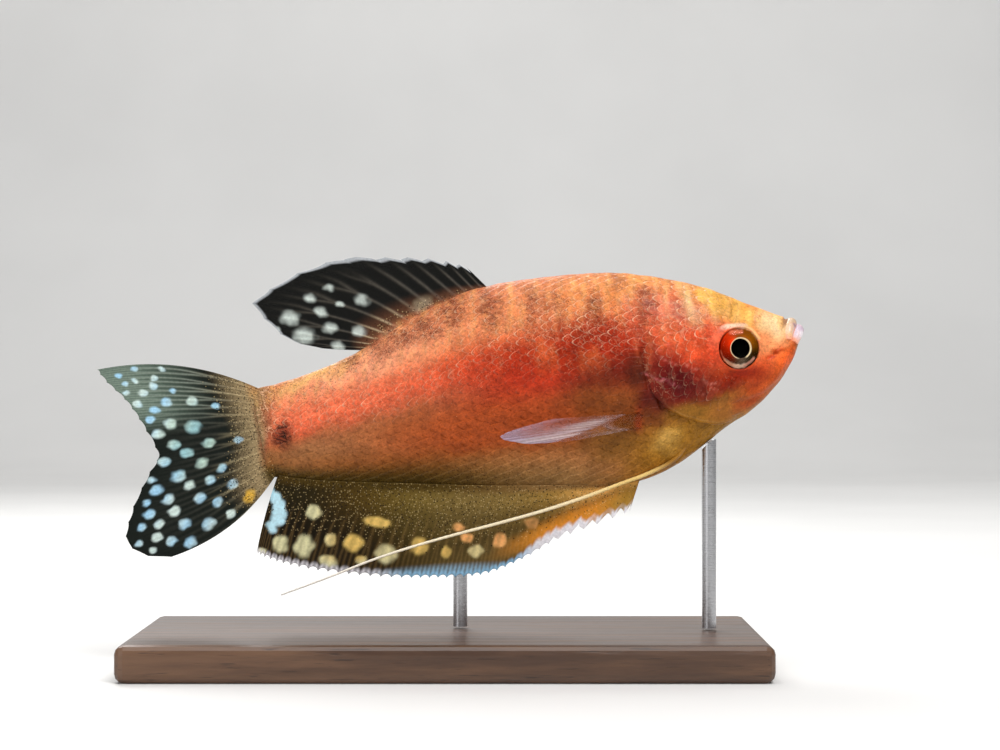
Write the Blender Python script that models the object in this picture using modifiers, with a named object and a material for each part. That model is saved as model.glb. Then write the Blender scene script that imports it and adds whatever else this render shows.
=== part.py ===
"""A life-size gold gourami (a male three-spot gourami of the gold form), swimming, on a plain stand.

The fish is drawn in its own frame: x forward along the body's axis with 0 at the tip of the
lower lip, y to its left, z up towards the back. Below, a "station" is a distance behind the lip.
An empty then tips it nose-up and holds it over the stand, whose underside is at the origin.
"""

import math

import bmesh
import bpy
from mathutils import Matrix, Vector

MM = 0.001
GAP = 0.3
# Far enough from the fish for a cutter's edges, each way
AHEAD, BEHIND, ABOVE, ASIDE = -5.0, 110.0, 30.0, 20.0

# Pose and stand
PITCH = math.radians(10.5)
LIP_FORWARD, LIP_HEIGHT = 59.25, 55.8
BASE_LENGTH, BASE_DEPTH, BASE_THICKNESS, BASE_BEVEL = 104.0, 56.0, 6.0, 1.5
ROD_RADIUS = 1.2
FRONT_ROD_X = 43.5
REAR_ROD_X, REAR_ROD_Y = 2.0, 3.3

# The body: its back and belly lines, half width, height of its widest level, and section fullness
BODY_START, BODY_END = 0.5, 91.5
BACK = [
    (0.5, 0.2), (0.8, 1.0), (1.5, 1.9), (2.3, 2.5), (3.4, 3.2), (5.2, 4.3), (8.0, 5.9), (11.0, 7.8),
    (15.6, 10.4), (20.3, 12.4), (25.1, 14.1), (29.6, 15.3), (34.9, 16.1), (41.5, 16.7), (48.0, 17.0),
    (53.4, 16.8), (58.7, 15.6), (64.1, 14.0), (69.6, 11.7), (74.0, 10.0), (80.4, 8.4), (87.3, 7.4), (91.5, 7.2),
]
BELLY = [
    (0.5, 0.0), (0.8, -0.9), (1.4, -2.2), (2.3, -3.8), (3.3, -5.2), (4.6, -6.8), (6.4, -8.4), (8.3, -9.8),
    (10.8, -11.3), (15.0, -13.4), (20.5, -16.2), (25.0, -18.1), (30.5, -19.5), (34.7, -19.7), (38.1, -19.4),
    (44.7, -18.3), (57.8, -15.9), (70.8, -13.1), (83.9, -10.2), (88.7, -8.8), (91.5, -7.8),
]
HALF_WIDTH = [
    (0.5, 0.15), (0.8, 1.0), (1.4, 1.7), (2.3, 2.25), (3.4, 2.75), (5.2, 3.4), (8.0, 4.2), (11.0, 4.9),
    (15.0, 5.8), (20.0, 6.5), (25.0, 6.9), (30.0, 7.0), (36.0, 6.9), (44.0, 6.5), (52.0, 5.9), (60.0, 5.1),
    (68.0, 4.2), (76.0, 3.3), (84.0, 2.4), (91.5, 1.3),
]
WIDEST_LEVEL = [(0.5, 0.45), (8.0, 0.5), (20.0, 0.56), (36.0, 0.6), (60.0, 0.58), (91.5, 0.5)]
BACK_TAPER = [(0.5, 1.0), (20.0, 1.05), (50.0, 1.15), (91.5, 1.0)]
BELLY_TAPER = [(0.5, 1.0), (20.0, 1.12), (40.0, 1.3), (60.0, 1.45), (80.0, 1.2), (91.5, 1.0)]
SECTION_SIDES = 36
SNOUT_STEPS = (0.0, 0.15, 0.45, 0.9, 1.5, 2.3, 3.3, 4.6, 6.2, 8.1)
STATION_STEP = 2.4

# Where the body is parted, in side view as (station, height)
SHOULDER_LINE = [
    (20.0, 13.0), (21.8, 10.1), (23.8, 7.6), (25.5, 4.9), (26.9, 1.8), (27.6, -2.0), (27.1, -5.0),
    (25.0, -8.4), (22.7, -10.4), (20.5, -11.5), (18.0, -12.3), (15.0, -12.4), (11.6, -12.0),
]
TAIL_CUT = 79.0
SHOULDER_STEP, SHOULDER_REACH = 0.45, 7.0

# The gill cover: a plate laid on the head, in side view as (station, height), ended by the gill opening
COVER_OUTLINE = [
    (18.2, 3.4), (19.4, 5.0), (22.0, 5.9), (26.0, 6.4), (29.5, 2.0), (30.0, -4.0), (27.5, -9.5),
    (22.0, -13.0), (17.5, -13.5), (15.3, -12.6), (15.2, -9.0), (15.7, -5.0), (16.7, -0.5),
]
COVER_FLARE, COVER_FLARE_REACH = 0.3, 10.0
COVER_BED, COVER_RISE, COVER_INSIDE = 1.3, 0.15, 1.5
COVER_POINTS = 28
COVER_SPAN = (10.0, 34.0)
FLANK_SPAN = (10.0, 70.0)

# The head
EYE_STATION, EYE_HEIGHT = 11.4, -0.8
EYE_RADIUS, EYE_BULGE, EYE_DEPTH = 3.4, 2.1, 3.4
EYE_TURN = math.radians(12)
ORBIT_RIM, ORBIT_OUT = 0.4, 1.25
UPPER_LIP_RADIUS, LOWER_LIP_RADIUS, LIP_POINTS = 0.8, 0.78, 15
UPPER_LIP_PATH = [(3.2, -1.5, 2.05), (2.9, 0.0, 2.0), (2.1, 1.4, 1.3), (1.6, 1.9, 0.0)]
LOWER_LIP_PATH = [(2.4, -1.9, 1.9), (1.7, -0.7, 1.6), (1.05, 0.25, 1.0), (0.8, 0.5, 0.0)]
MOUTH_SLIT_START, MOUTH_SLIT_END, MOUTH_SLIT_WIDTH = (0.5, 2.0), (3.0, -1.3), 0.3
MOUTH_HALF_WIDTH = 4.0
NOSTRILS, NOSTRIL_DEPTH = [(5.2, 2.2, 0.3), (7.6, 3.3, 0.42)], 0.7

# Fins, as key rays: share along the fin, root station, tip (station, height), bow; a caudal ray's root has
# a height in place of its station, and a pectoral ray has root and tip (station, height) and distance out
ANAL_RAYS, ANAL_SPINES, ANAL_ROWS = 46, 11, 4
ANAL_NOTCHES = (1.5, 0.8)
ANAL_KEYS = [
    (0.00, 31.2, 34.0, -24.3, 0.0), (0.12, 36.5, 39.8, -25.4, 0.0), (0.25, 42.5, 46.5, -26.6, 0.1),
    (0.35, 48.0, 53.0, -28.9, 0.2), (0.45, 53.5, 60.0, -30.2, 0.3), (0.60, 63.0, 71.0, -28.7, 0.4),
    (0.80, 76.5, 85.0, -25.1, 0.5), (0.93, 86.0, 93.2, -21.9, 0.3), (1.00, 90.4, 96.4, -19.9, 0.3),
]
DORSAL_RAYS, DORSAL_SPINES, DORSAL_ROWS = 17, 8, 6
DORSAL_NOTCHES = (1.6, 0.5)
DORSAL_KEYS = [
    (0.00, 50.3, 53.2, 20.6, 0.0), (0.07, 52.0, 55.6, 22.0, 0.0), (0.20, 55.0, 61.3, 23.8, 0.1),
    (0.32, 58.0, 66.5, 24.8, 0.3), (0.45, 61.0, 73.5, 25.9, 0.6), (0.58, 64.0, 80.5, 25.0, 0.9),
    (0.70, 66.5, 87.0, 22.7, 1.0), (0.77, 68.0, 89.5, 21.2, 0.9), (0.86, 69.8, 87.6, 17.7, 0.4),
    (0.94, 71.2, 84.2, 13.9, 0.0), (1.00, 72.2, 79.5, 11.8, -0.1),
]
CAUDAL_RAYS, CAUDAL_ROWS, CAUDAL_NOTCH = 18, 6, 0.6
CAUDAL_ROOT = 91.8
CAUDAL_KEYS = [
    (0.00, 7.0, 117.5, 15.2, 2.3), (0.10, 6.1, 116.4, 13.2, 1.5), (0.25, 4.1, 113.3, 9.0, 0.6),
    (0.40, 1.7, 111.0, 4.0, 0.2), (0.50, -0.3, 109.6, -0.6, 0.0), (0.60, -2.2, 111.7, -3.6, -0.2),
    (0.72, -4.5, 115.4, -9.0, -0.4), (0.84, -6.1, 117.2, -13.6, -0.9), (0.93, -7.0, 114.6, -16.7, -1.5),
    (1.00, -7.6, 110.5, -17.8, -2.0),
]
CAUDAL_SWAY_TOP, CAUDAL_SWAY_BOTTOM = 3.2, -1.4
CAUDAL_LENGTH, CAUDAL_HALF_SPREAD = 26.0, 14.0
PECTORAL_RAYS, PECTORAL_ROWS, PECTORAL_NOTCH = 10, 6, 0.4
PECTORAL_KEYS = [
    (0.00, 28.4, -8.6, 44.0, -6.6, 12.2), (0.35, 28.5, -9.1, 50.8, -7.2, 13.0),
    (0.60, 28.6, -9.6, 53.0, -8.0, 11.6), (0.80, 28.7, -10.1, 48.5, -9.9, 9.6),
    (1.00, 28.8, -10.6, 41.0, -10.7, 8.0),
]
PECTORAL_SUNK, PECTORAL_LIFT = 0.9, 1.3
PECTORAL_NORMAL = (0.0, 0.4, -0.92)
MEMBRANE, MARGIN_THICKNESS, RAY_RIDGE = 0.5, 0.4, 0.3
MIDPLANE_ROOT, CAUDAL_ROOT_THICKNESS, PECTORAL_ROOT = 0.9, 1.5, 0.8
ACROSS = Vector((0.0, 1.0, 0.0))

# Pelvic feelers, one long ray each side: (station, height, distance from the midplane)
FEELER_RIGHT = [
    (22.6, -14.6, 0.0), (24.2, -16.4, 0.0), (26.3, -17.5, 0.0), (28.6, -18.2, 0.0), (31.2, -18.8, 0.0), (34.7, -19.4, 0.0),
    (41.7, -20.6, 1.9), (48.6, -21.5, 2.0), (55.5, -22.1, 2.2), (62.4, -22.6, 2.4), (69.3, -23.2, 2.7),
    (76.5, -24.1, 3.1), (85.0, -25.7, 3.6), (93.3, -27.1, 4.1),
]
FEELER_LEFT = [
    (22.6, -14.6, 0.0), (24.2, -16.4, 0.0), (26.3, -17.5, 0.0), (28.6, -18.2, 0.0), (31.2, -18.8, 0.0), (34.7, -19.2, 0.0),
    (41.7, -19.9, 1.6), (48.6, -20.5, 1.3), (55.5, -21.0, 1.25), (62.4, -21.4, 1.25), (69.3, -21.6, 1.25),
    (76.5, -21.5, 1.3), (83.0, -21.0, 1.5), (89.0, -20.2, 1.8),
]
FEELER_ROOT_RADIUS, FEELER_TIP_RADIUS, FEELER_POINTS = 0.42, 0.2, 24
FEELER_SUNK, FEELER_LEAST_OUT, FEELER_SIDES = 0.9, 1.2, 6


# Curves through a few given points

def smooth_through(points, x):
    """The value at x of a smooth curve through (x, value) points, level in slope at a local peak."""
    if x <= points[0][0]:
        return points[0][1]
    if x >= points[-1][0]:
        return points[-1][1]
    i = max(k for k in range(len(points) - 1) if points[k][0] <= x)
    slopes = [(q[1] - p[1]) / (q[0] - p[0]) for p, q in zip(points, points[1:])]

    def tangent(k):
        if k == 0:
            return slopes[0]
        if k == len(points) - 1:
            return slopes[-1]
        before, after = slopes[k - 1], slopes[k]
        if before * after <= 0:
            return 0.0
        return 2 * before * after / (before + after)

    (x0, y0), (x1, y1) = points[i], points[i + 1]
    width = x1 - x0
    t = (x - x0) / width
    start = (1 + 2 * t) * (1 - t) ** 2 * y0 + t * (1 - t) ** 2 * width * tangent(i)
    end = t * t * (3 - 2 * t) * y1 + t * t * (t - 1) * width * tangent(i + 1)
    return start + end


def column(keys, index):
    """(share, value) pairs of one column of a fin's key rays."""
    return [(key[0], key[index]) for key in keys]


def reach_of(points):
    """The distance along a path up to each of its points."""
    reach = [0.0]
    for p, q in zip(points, points[1:]):
        reach.append(reach[-1] + math.dist(p, q))
    return reach


def path_through(points, count):
    """count points evenly along a smooth curve through the given points."""
    reach = reach_of(points)
    along = [[(r, p[axis]) for r, p in zip(reach, points)] for axis in range(3)]
    places = [reach[-1] * k / (count - 1) for k in range(count)]
    return [Vector([smooth_through(along[axis], place) for axis in range(3)]) for place in places]


def smooth_outline(outline, count):
    """count points evenly along a smooth closed curve through an outline's points."""
    wrapped = outline[-2:] + outline + outline[:3]
    reach = reach_of(wrapped)
    along = [[(r, p[axis]) for r, p in zip(reach, wrapped)] for axis in range(2)]
    first, last = reach[2], reach[2 + len(outline)]
    places = [first + (last - first) * k / count for k in range(count)]
    return [(smooth_through(along[0], place), smooth_through(along[1], place)) for place in places]


# The body's surface

def half_width_at(station, height, grow=0.0):
    """Half the body's width at a station and a height above its axis."""
    top = smooth_through(BACK, station) + grow
    bottom = smooth_through(BELLY, station) - grow
    level = bottom + (top - bottom) * smooth_through(WIDEST_LEVEL, station)
    if height >= level:
        share, taper = (height - level) / (top - level), smooth_through(BACK_TAPER, station)
    else:
        share, taper = (level - height) / (level - bottom), smooth_through(BELLY_TAPER, station)
    side = math.sqrt(max(0.0, 1 - min(1.0, share) ** 2))
    return (smooth_through(HALF_WIDTH, station) + grow) * side ** taper


def shoulder_distance(station, height):
    """How far a point lies behind the gill opening's line, in side view."""
    return station - smooth_through([(-h, s) for s, h in SHOULDER_LINE[:7]], -height)


def section_point(station, angle, grow, swell):
    """A point of the body's surface. The angle runs from 0 at the back, through the left, to the belly."""
    top = smooth_through(BACK, station) + grow
    bottom = smooth_through(BELLY, station) - grow
    level = bottom + (top - bottom) * smooth_through(WIDEST_LEVEL, station)
    rise = math.cos(angle)
    if rise >= 0:
        height, taper = level + rise * (top - level), smooth_through(BACK_TAPER, station)
    else:
        height, taper = level + rise * (level - bottom), smooth_through(BELLY_TAPER, station)
    side = math.sin(angle)
    wide = (smooth_through(HALF_WIDTH, station) + grow) * abs(side) ** taper
    wide += swell(station, height) * abs(side)
    return Vector((-station, math.copysign(wide, side), height)) * MM


def no_swell(station, height):
    return 0.0


def cover_swell(station, height):
    """The head flares a little towards the gill opening."""
    near = max(0.0, 1 + shoulder_distance(station, height) / COVER_FLARE_REACH)
    return COVER_FLARE * min(1.0, near)


def shoulder_dip(station, height):
    """The trunk is lower just behind the gill cover, so the cover's edge stands over it."""
    behind = shoulder_distance(station, height)
    return -SHOULDER_STEP * max(0.0, min(1.0, 1 - behind / SHOULDER_REACH))


def stations(first, last):
    """Stations along the body, close at the snout and even behind it."""
    snout = [first + step for step in SNOUT_STEPS]
    count = math.ceil((last - snout[-1]) / STATION_STEP)
    return snout + [snout[-1] + (last - snout[-1]) * k / count for k in range(1, count + 1)]


def body_mesh(name, grow=0.0, swell=no_swell, start=BODY_START, end=BODY_END):
    """A closed loft through the body's sections from one station to another."""
    mesh = bmesh.new()
    rings = []
    for station in stations(start, end):
        angles = [2 * math.pi * k / SECTION_SIDES for k in range(SECTION_SIDES)]
        rings.append([mesh.verts.new(section_point(station, a, grow, swell)) for a in angles])
    for ring, following in zip(rings, rings[1:]):
        for k in range(SECTION_SIDES):
            n = (k + 1) % SECTION_SIDES
            mesh.faces.new((ring[k], ring[n], following[n], following[k]))
    mesh.faces.new(rings[0])
    mesh.faces.new(rings[-1])
    return finished(name, mesh)


# Making objects

def material(name, colour, roughness, metallic=0.0):
    made = bpy.data.materials.new(name)
    made.use_nodes = True
    shader = made.node_tree.nodes["Principled BSDF"]
    shader.inputs["Base Color"].default_value = (*colour, 1.0)
    shader.inputs["Roughness"].default_value = roughness
    shader.inputs["Metallic"].default_value = metallic
    return made


def finished(name, mesh):
    """An object from a bmesh, with its faces turned outwards and split into triangles."""
    mesh.normal_update()
    bmesh.ops.recalc_face_normals(mesh, faces=mesh.faces)
    bmesh.ops.triangulate(mesh, faces=mesh.faces)
    data = bpy.data.meshes.new(name)
    mesh.to_mesh(data)
    mesh.free()
    made = bpy.data.objects.new(name, data)
    bpy.context.scene.collection.objects.link(made)
    return made


def apply_modifiers(made):
    """Gives an object the mesh that its modifiers make."""
    bpy.context.view_layer.update()
    shown = made.evaluated_get(bpy.context.evaluated_depsgraph_get())
    made.modifiers.clear()
    made.data = bpy.data.meshes.new_from_object(shown)


def keep_largest(made):
    """Keeps only the largest closed surface of an object."""
    mesh = bmesh.new()
    mesh.from_mesh(made.data)
    loose, surfaces = set(mesh.faces), []
    while loose:
        surface, waiting = [], [loose.pop()]
        while waiting:
            face = waiting.pop()
            surface.append(face)
            for edge in face.edges:
                for other in edge.link_faces:
                    if other in loose:
                        loose.remove(other)
                        waiting.append(other)
        surfaces.append(surface)
    surfaces.sort(key=lambda faces: sum(face.calc_area() for face in faces))
    for surface in surfaces[:-1]:
        bmesh.ops.delete(mesh, geom=surface, context="FACES")
    mesh.to_mesh(made.data)
    mesh.free()


def move_to(group, members):
    """Links objects to one collection and to no other."""
    for member in members:
        for held in member.users_collection:
            held.objects.unlink(member)
        group.objects.link(member)


def combine(made, others, operation):
    """Applies one Boolean with a collection of closed meshes, then removes them."""
    group = bpy.data.collections.new(made.name + "_" + operation.lower())
    bpy.context.scene.collection.children.link(group)
    move_to(group, others)
    step = made.modifiers.new(operation.title(), "BOOLEAN")
    step.operation = operation
    step.operand_type = "COLLECTION"
    step.collection = group
    step.solver = "EXACT"
    apply_modifiers(made)
    for other in others:
        bpy.data.objects.remove(other)
    bpy.data.collections.remove(group)
    keep_largest(made)


def within(made, other):
    """Keeps what of an object lies inside another, which is then removed."""
    step = made.modifiers.new("Within", "BOOLEAN")
    step.operation = "INTERSECT"
    step.object = other
    step.solver = "EXACT"
    apply_modifiers(made)
    bpy.data.objects.remove(other)
    keep_largest(made)


def slab(name, outline, low, high):
    """A prism across the fish, between two distances from its midplane, on a (station, height) outline."""
    mesh = bmesh.new()
    sides = [
        [mesh.verts.new(Vector((-station, y, height)) * MM) for station, height in outline]
        for y in (low, high)
    ]
    mesh.faces.new(sides[0])
    mesh.faces.new(sides[1])
    for k in range(len(outline)):
        n = (k + 1) % len(outline)
        mesh.faces.new((sides[0][k], sides[0][n], sides[1][n], sides[1][k]))
    return finished(name, mesh)


def ellipsoid(name, centre, radii, turn=0.0, segments=20, rings=10):
    """An ellipsoid whose poles face sideways, where an eye's pupil is, turned about the vertical."""
    mesh = bmesh.new()
    bmesh.ops.create_uvsphere(mesh, u_segments=segments, v_segments=rings, radius=1.0)
    for vert in mesh.verts:
        across, along, up = vert.co.z, vert.co.x, vert.co.y
        place = Vector((along * radii[0], across * radii[1], up * radii[2]))
        place.rotate(Matrix.Rotation(turn, 3, "Z"))
        vert.co = (Vector(centre) + place) * MM
    return finished(name, mesh)


def tube(name, path, radii, sides):
    """A closed tube along a path, with a radius for each point."""
    curve = bpy.data.curves.new(name, "CURVE")
    curve.dimensions = "3D"
    curve.bevel_depth = MM
    curve.bevel_resolution = sides // 2 - 2
    curve.use_fill_caps = True
    line = curve.splines.new("POLY")
    line.points.add(len(path) - 1)
    for point, place, radius in zip(line.points, path, radii):
        point.co = (*(Vector(place) * MM), 1.0)
        point.radius = radius
    made = bpy.data.objects.new(name, curve)
    bpy.context.scene.collection.objects.link(made)
    bpy.context.view_layer.update()
    data = bpy.data.meshes.new_from_object(made.evaluated_get(bpy.context.evaluated_depsgraph_get()))
    bpy.data.objects.remove(made)
    mesh = bmesh.new()
    mesh.from_mesh(data)
    bmesh.ops.remove_doubles(mesh, verts=mesh.verts, dist=0.001 * MM)
    return finished(name, mesh)


def ring(name, centre, radius, thickness, turn):
    """A torus that faces sideways, turned about the vertical, such as the rim of an eye socket."""
    bpy.ops.mesh.primitive_torus_add(
        major_segments=24, minor_segments=6, major_radius=radius * MM, minor_radius=thickness * MM,
        location=Vector(centre) * MM, rotation=(math.pi / 2, 0, turn),
    )
    made = bpy.context.active_object
    made.name = name
    made.data.transform(made.matrix_basis)
    made.matrix_basis.identity()
    return made


def offset_outline(outline, distance):
    """The closed outline moved outwards by a distance, each point along its own normal."""
    area = sum(p[0] * q[1] - q[0] * p[1] for p, q in zip(outline, outline[1:] + outline[:1]))
    turn = 1 if area > 0 else -1
    moved = []
    for k, point in enumerate(outline):
        before, after = outline[k - 1], outline[(k + 1) % len(outline)]
        along = Vector((after[0] - before[0], after[1] - before[1])).normalized()
        normal = Vector((along.y, -along.x)) * turn
        moved.append((point[0] + normal.x * distance, point[1] + normal.y * distance))
    return moved


# Flesh

def head_region(gap=0.0):
    """What lies before the gill opening, in side view, with an edge moved back by the gap."""
    edge = [(station + gap * 0.8, height - gap * 0.6) for station, height in SHOULDER_LINE]
    top, bottom = edge[0], edge[-1]
    above, below = (top[0] - 2.0, ABOVE), (bottom[0] - 0.5, -ABOVE)
    return [(AHEAD, ABOVE), above, *edge, below, (AHEAD, -ABOVE)]


def block(name, first, last):
    """A box across the whole fish from one station to another."""
    return slab(name, [(first, ABOVE), (last, ABOVE), (last, -ABOVE), (first, -ABOVE)], -ASIDE, ASIDE)


def cover_side(name, side, outline):
    """A prism on one side of the fish, from just off its midplane outwards."""
    return slab(name, smooth_outline(outline, COVER_POINTS), *sorted((side * COVER_INSIDE, side * ASIDE)))


def eye_point(side, out):
    """A point on the eye's axis, which looks a little forward, at a distance out from the eye's middle."""
    centre = Vector((-EYE_STATION, side * EYE_DEPTH, EYE_HEIGHT))
    return centre + Vector((math.sin(EYE_TURN), side * math.cos(EYE_TURN), 0.0)) * out


def eye_shape(name, side, grow):
    """The eyeball, made larger by a given amount."""
    radii = (EYE_RADIUS + grow, EYE_BULGE + grow, EYE_RADIUS + grow)
    return ellipsoid(name, eye_point(side, 0.0), radii, -side * EYE_TURN, 24, 10)


def lips():
    """Two lip rolls, each a tube from one corner of the mouth round to the other."""
    made = []
    for name, path, radius in (
        ("upper_lip", UPPER_LIP_PATH, UPPER_LIP_RADIUS), ("lower_lip", LOWER_LIP_PATH, LOWER_LIP_RADIUS),
    ):
        right = [(-s, -y, h) for s, h, y in path]
        left = [(-s, y, h) for s, h, y in reversed(path[:-1])]
        points = path_through(right + left, LIP_POINTS)
        shares = [k / (LIP_POINTS - 1) for k in range(LIP_POINTS)]
        radii = [radius * (0.55 + 0.45 * math.sin(math.pi * share) ** 0.5) for share in shares]
        made.append(tube(name, points, radii, 8))
    return made


def mouth_slit():
    """A thin wedge between the lips."""
    (s0, h0), (s1, h1) = MOUTH_SLIT_START, MOUTH_SLIT_END
    along = Vector((s1 - s0, h1 - h0)).normalized()
    across = Vector((-along.y, along.x)) * MOUTH_SLIT_WIDTH / 2
    outline = [
        (s0 - along.x + across.x, h0 - along.y + across.y), (s1, h1),
        (s0 - along.x - across.x, h0 - along.y - across.y),
    ]
    return slab("mouth_slit", outline, -MOUTH_HALF_WIDTH, MOUTH_HALF_WIDTH)


def nostril_pits():
    pits = []
    for side in (-1, 1):
        for station, height, radius in NOSTRILS:
            out = half_width_at(station, height)
            centre = (-station, side * out, height)
            pits.append(ellipsoid("nostril", centre, (radius, NOSTRIL_DEPTH, radius), 0.0, 10, 6))
    return pits


def head(skin):
    made = body_mesh("head", swell=cover_swell, end=COVER_SPAN[1])
    rims = [
        ring("rim", eye_point(side, ORBIT_OUT), EYE_RADIUS + ORBIT_RIM / 2, ORBIT_RIM, -side * EYE_TURN)
        for side in (-1, 1)
    ]
    combine(made, rims + lips(), "UNION")
    sockets = [eye_shape("socket", side, GAP) for side in (-1, 1)]
    combine(made, sockets + nostril_pits() + [mouth_slit()], "DIFFERENCE")
    within(made, slab("head_side", head_region(), -ASIDE, ASIDE))
    for side in (-1, 1):
        bed = cover_side("cover_bed", side, COVER_OUTLINE)
        combine(bed, [body_mesh("core", -COVER_BED, cover_swell, *COVER_SPAN)], "DIFFERENCE")
        combine(made, [bed], "DIFFERENCE")
    made.data.materials.append(skin)
    return made


def gill_cover(name, side, skin):
    """A thin curved plate in its bed on the side of the head, free of it by the gap."""
    made = body_mesh(name, swell=lambda s, h: cover_swell(s, h) + COVER_RISE, end=COVER_SPAN[1])
    within(made, cover_side("cover_side", side, offset_outline(COVER_OUTLINE, -GAP)))
    within(made, slab("head_side", head_region(), -ASIDE, ASIDE))
    combine(made, [body_mesh("core", GAP - COVER_BED, cover_swell, *COVER_SPAN)], "DIFFERENCE")
    made.data.materials.append(skin)
    return made


def torso(skin):
    made = body_mesh("torso", swell=shoulder_dip)
    front = slab("front", head_region(GAP), -ASIDE, ASIDE)
    combine(made, [front, block("rear", TAIL_CUT, BEHIND)], "DIFFERENCE")
    made.data.materials.append(skin)
    return made


def tail_stalk(skin):
    made = body_mesh("tail_stalk")
    combine(made, [block("front", AHEAD, TAIL_CUT + GAP)], "DIFFERENCE")
    made.data.materials.append(skin)
    return made


def eye(name, side, cornea):
    made = eye_shape(name, side, 0.0)
    made.data.materials.append(cornea)
    return made


# Fins

def vane(name, columns, skin):
    """A closed sheet from columns of (middle point, half thickness), split alike on both faces."""
    mesh = bmesh.new()
    faces = [
        [[mesh.verts.new((middle + side * half) * MM) for middle, half in rows] for rows in columns]
        for side in (-1, 1)
    ]
    last, end = len(columns) - 1, len(columns[0]) - 1
    for sheet in faces:
        for c in range(last):
            for r in range(end):
                a, b = sheet[c][r], sheet[c + 1][r]
                d, e = sheet[c][r + 1], sheet[c + 1][r + 1]
                mesh.faces.new((a, b, e))
                mesh.faces.new((a, e, d))
    rim = [(c, 0) for c in range(last)] + [(last, r) for r in range(end)]
    rim += [(c, end) for c in range(last, 0, -1)] + [(0, r) for r in range(end, 0, -1)]
    near, far = faces
    for (c, r), (n, m) in zip(rim, rim[1:] + rim[:1]):
        mesh.faces.new((near[c][r], near[n][m], far[n][m], far[c][r]))
    made = finished(name, mesh)
    made.data.materials.append(skin)
    return made


def sideways(root, tip, bow):
    """How far the middle of a ray of a midplane fin lies off the straight line, in that plane."""
    along = tip - root
    return Vector((along.z, 0.0, -along.x)).normalized() * bow


def bowed(root, tip, bow, share):
    """A point along a ray from root to tip whose middle is moved by the bow."""
    return root + (tip - root) * share + bow * (4 * share * (1 - share))


def fin_columns(ray_at, shares, ridges, rows, notch, normal, sway, root_thickness):
    """Columns of a fin for vane(). ridges says which columns are rays, which stand out of the membrane."""
    columns = []
    for share, ridge in zip(shares, ridges):
        root, tip, bow = ray_at(share)
        length = (tip - root).length
        reach = 1.0 if ridge else 1 - notch(share) / length
        places = []
        for row in range(rows + 1):
            v = row / rows
            middle = bowed(root, tip, bow, v * reach)
            middle = middle + normal * sway(middle)
            thin = root_thickness + (MEMBRANE - root_thickness) * min(1.0, v * 3)
            thick = thin + (MARGIN_THICKNESS - MEMBRANE) * v
            thick += RAY_RIDGE * ridge * (1 - 0.7 * v)
            places.append((middle, normal * thick / 2))
        columns.append(places)
    return columns


def ray_shares(rays, foot):
    """Shares of columns along a fin, and how high each stands: a ray, then the membrane's edges beside it."""
    shares, ridges = [], []
    for k in range(rays):
        shares.append(k / (rays - 1))
        ridges.append(1.0)
        if k < rays - 1:
            for part in foot:
                shares.append((k + part) / (rays - 1))
                ridges.append(0.0)
    return shares, ridges


def midplane_ray(keys, share, root_height, clearance):
    """Root, tip and bow of a ray of a fin that stands on the back or hangs from the belly."""
    station = smooth_through(column(keys, 1), share)
    root = Vector((-station, 0.0, root_height(station) + clearance))
    tip = Vector((-smooth_through(column(keys, 2), share), 0.0, smooth_through(column(keys, 3), share)))
    return root, tip, sideways(root, tip, smooth_through(column(keys, 4), share))


def anal_fin(skin):
    spines_end = ANAL_SPINES / ANAL_RAYS

    def ray_at(share):
        return midplane_ray(ANAL_KEYS, share, lambda s: smooth_through(BELLY, s), -GAP)

    def notch(share):
        return ANAL_NOTCHES[0] if share < spines_end * 0.6 else ANAL_NOTCHES[1]

    shares, ridges = ray_shares(ANAL_RAYS, (0.5,))
    columns = fin_columns(ray_at, shares, ridges, ANAL_ROWS, notch, ACROSS, no_sway, MIDPLANE_ROOT)
    return vane("anal_fin", columns, skin)


def dorsal_fin(skin):
    spines_end = DORSAL_SPINES / DORSAL_RAYS

    def ray_at(share):
        return midplane_ray(DORSAL_KEYS, share, lambda s: smooth_through(BACK, s), GAP)

    def notch(share):
        return DORSAL_NOTCHES[0] if share < spines_end * 0.7 else DORSAL_NOTCHES[1]

    shares, ridges = ray_shares(DORSAL_RAYS, (0.3, 0.7))
    columns = fin_columns(ray_at, shares, ridges, DORSAL_ROWS, notch, ACROSS, no_sway, MIDPLANE_ROOT)
    return vane("dorsal_fin", columns, skin)


def no_sway(point):
    return 0.0


def caudal_sway(point):
    """The tail fin's upper lobe bends to the left and its lower lobe a little to the right."""
    back = max(0.0, (-point.x - CAUDAL_ROOT) / CAUDAL_LENGTH)
    up = max(-1.0, min(1.0, point.z / CAUDAL_HALF_SPREAD))
    reach = CAUDAL_SWAY_TOP if up > 0 else -CAUDAL_SWAY_BOTTOM
    return reach * up * back ** 1.5


def caudal_fin(skin):
    """Branched rays: each is a pair of ridges, close together at the root and apart at the margin."""
    def ray_at(share):
        root = Vector((-CAUDAL_ROOT, 0.0, smooth_through(column(CAUDAL_KEYS, 1), share)))
        tip = Vector(
            (-smooth_through(column(CAUDAL_KEYS, 2), share), 0.0, smooth_through(column(CAUDAL_KEYS, 3), share))
        )
        return root, tip, sideways(root, tip, smooth_through(column(CAUDAL_KEYS, 4), share))

    shares, ridges = ray_shares(2 * CAUDAL_RAYS, (0.5,))
    columns = fin_columns(
        ray_at, shares, ridges, CAUDAL_ROWS, lambda share: CAUDAL_NOTCH, ACROSS, caudal_sway, CAUDAL_ROOT_THICKNESS
    )
    return vane("caudal_fin", columns, skin)


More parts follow.
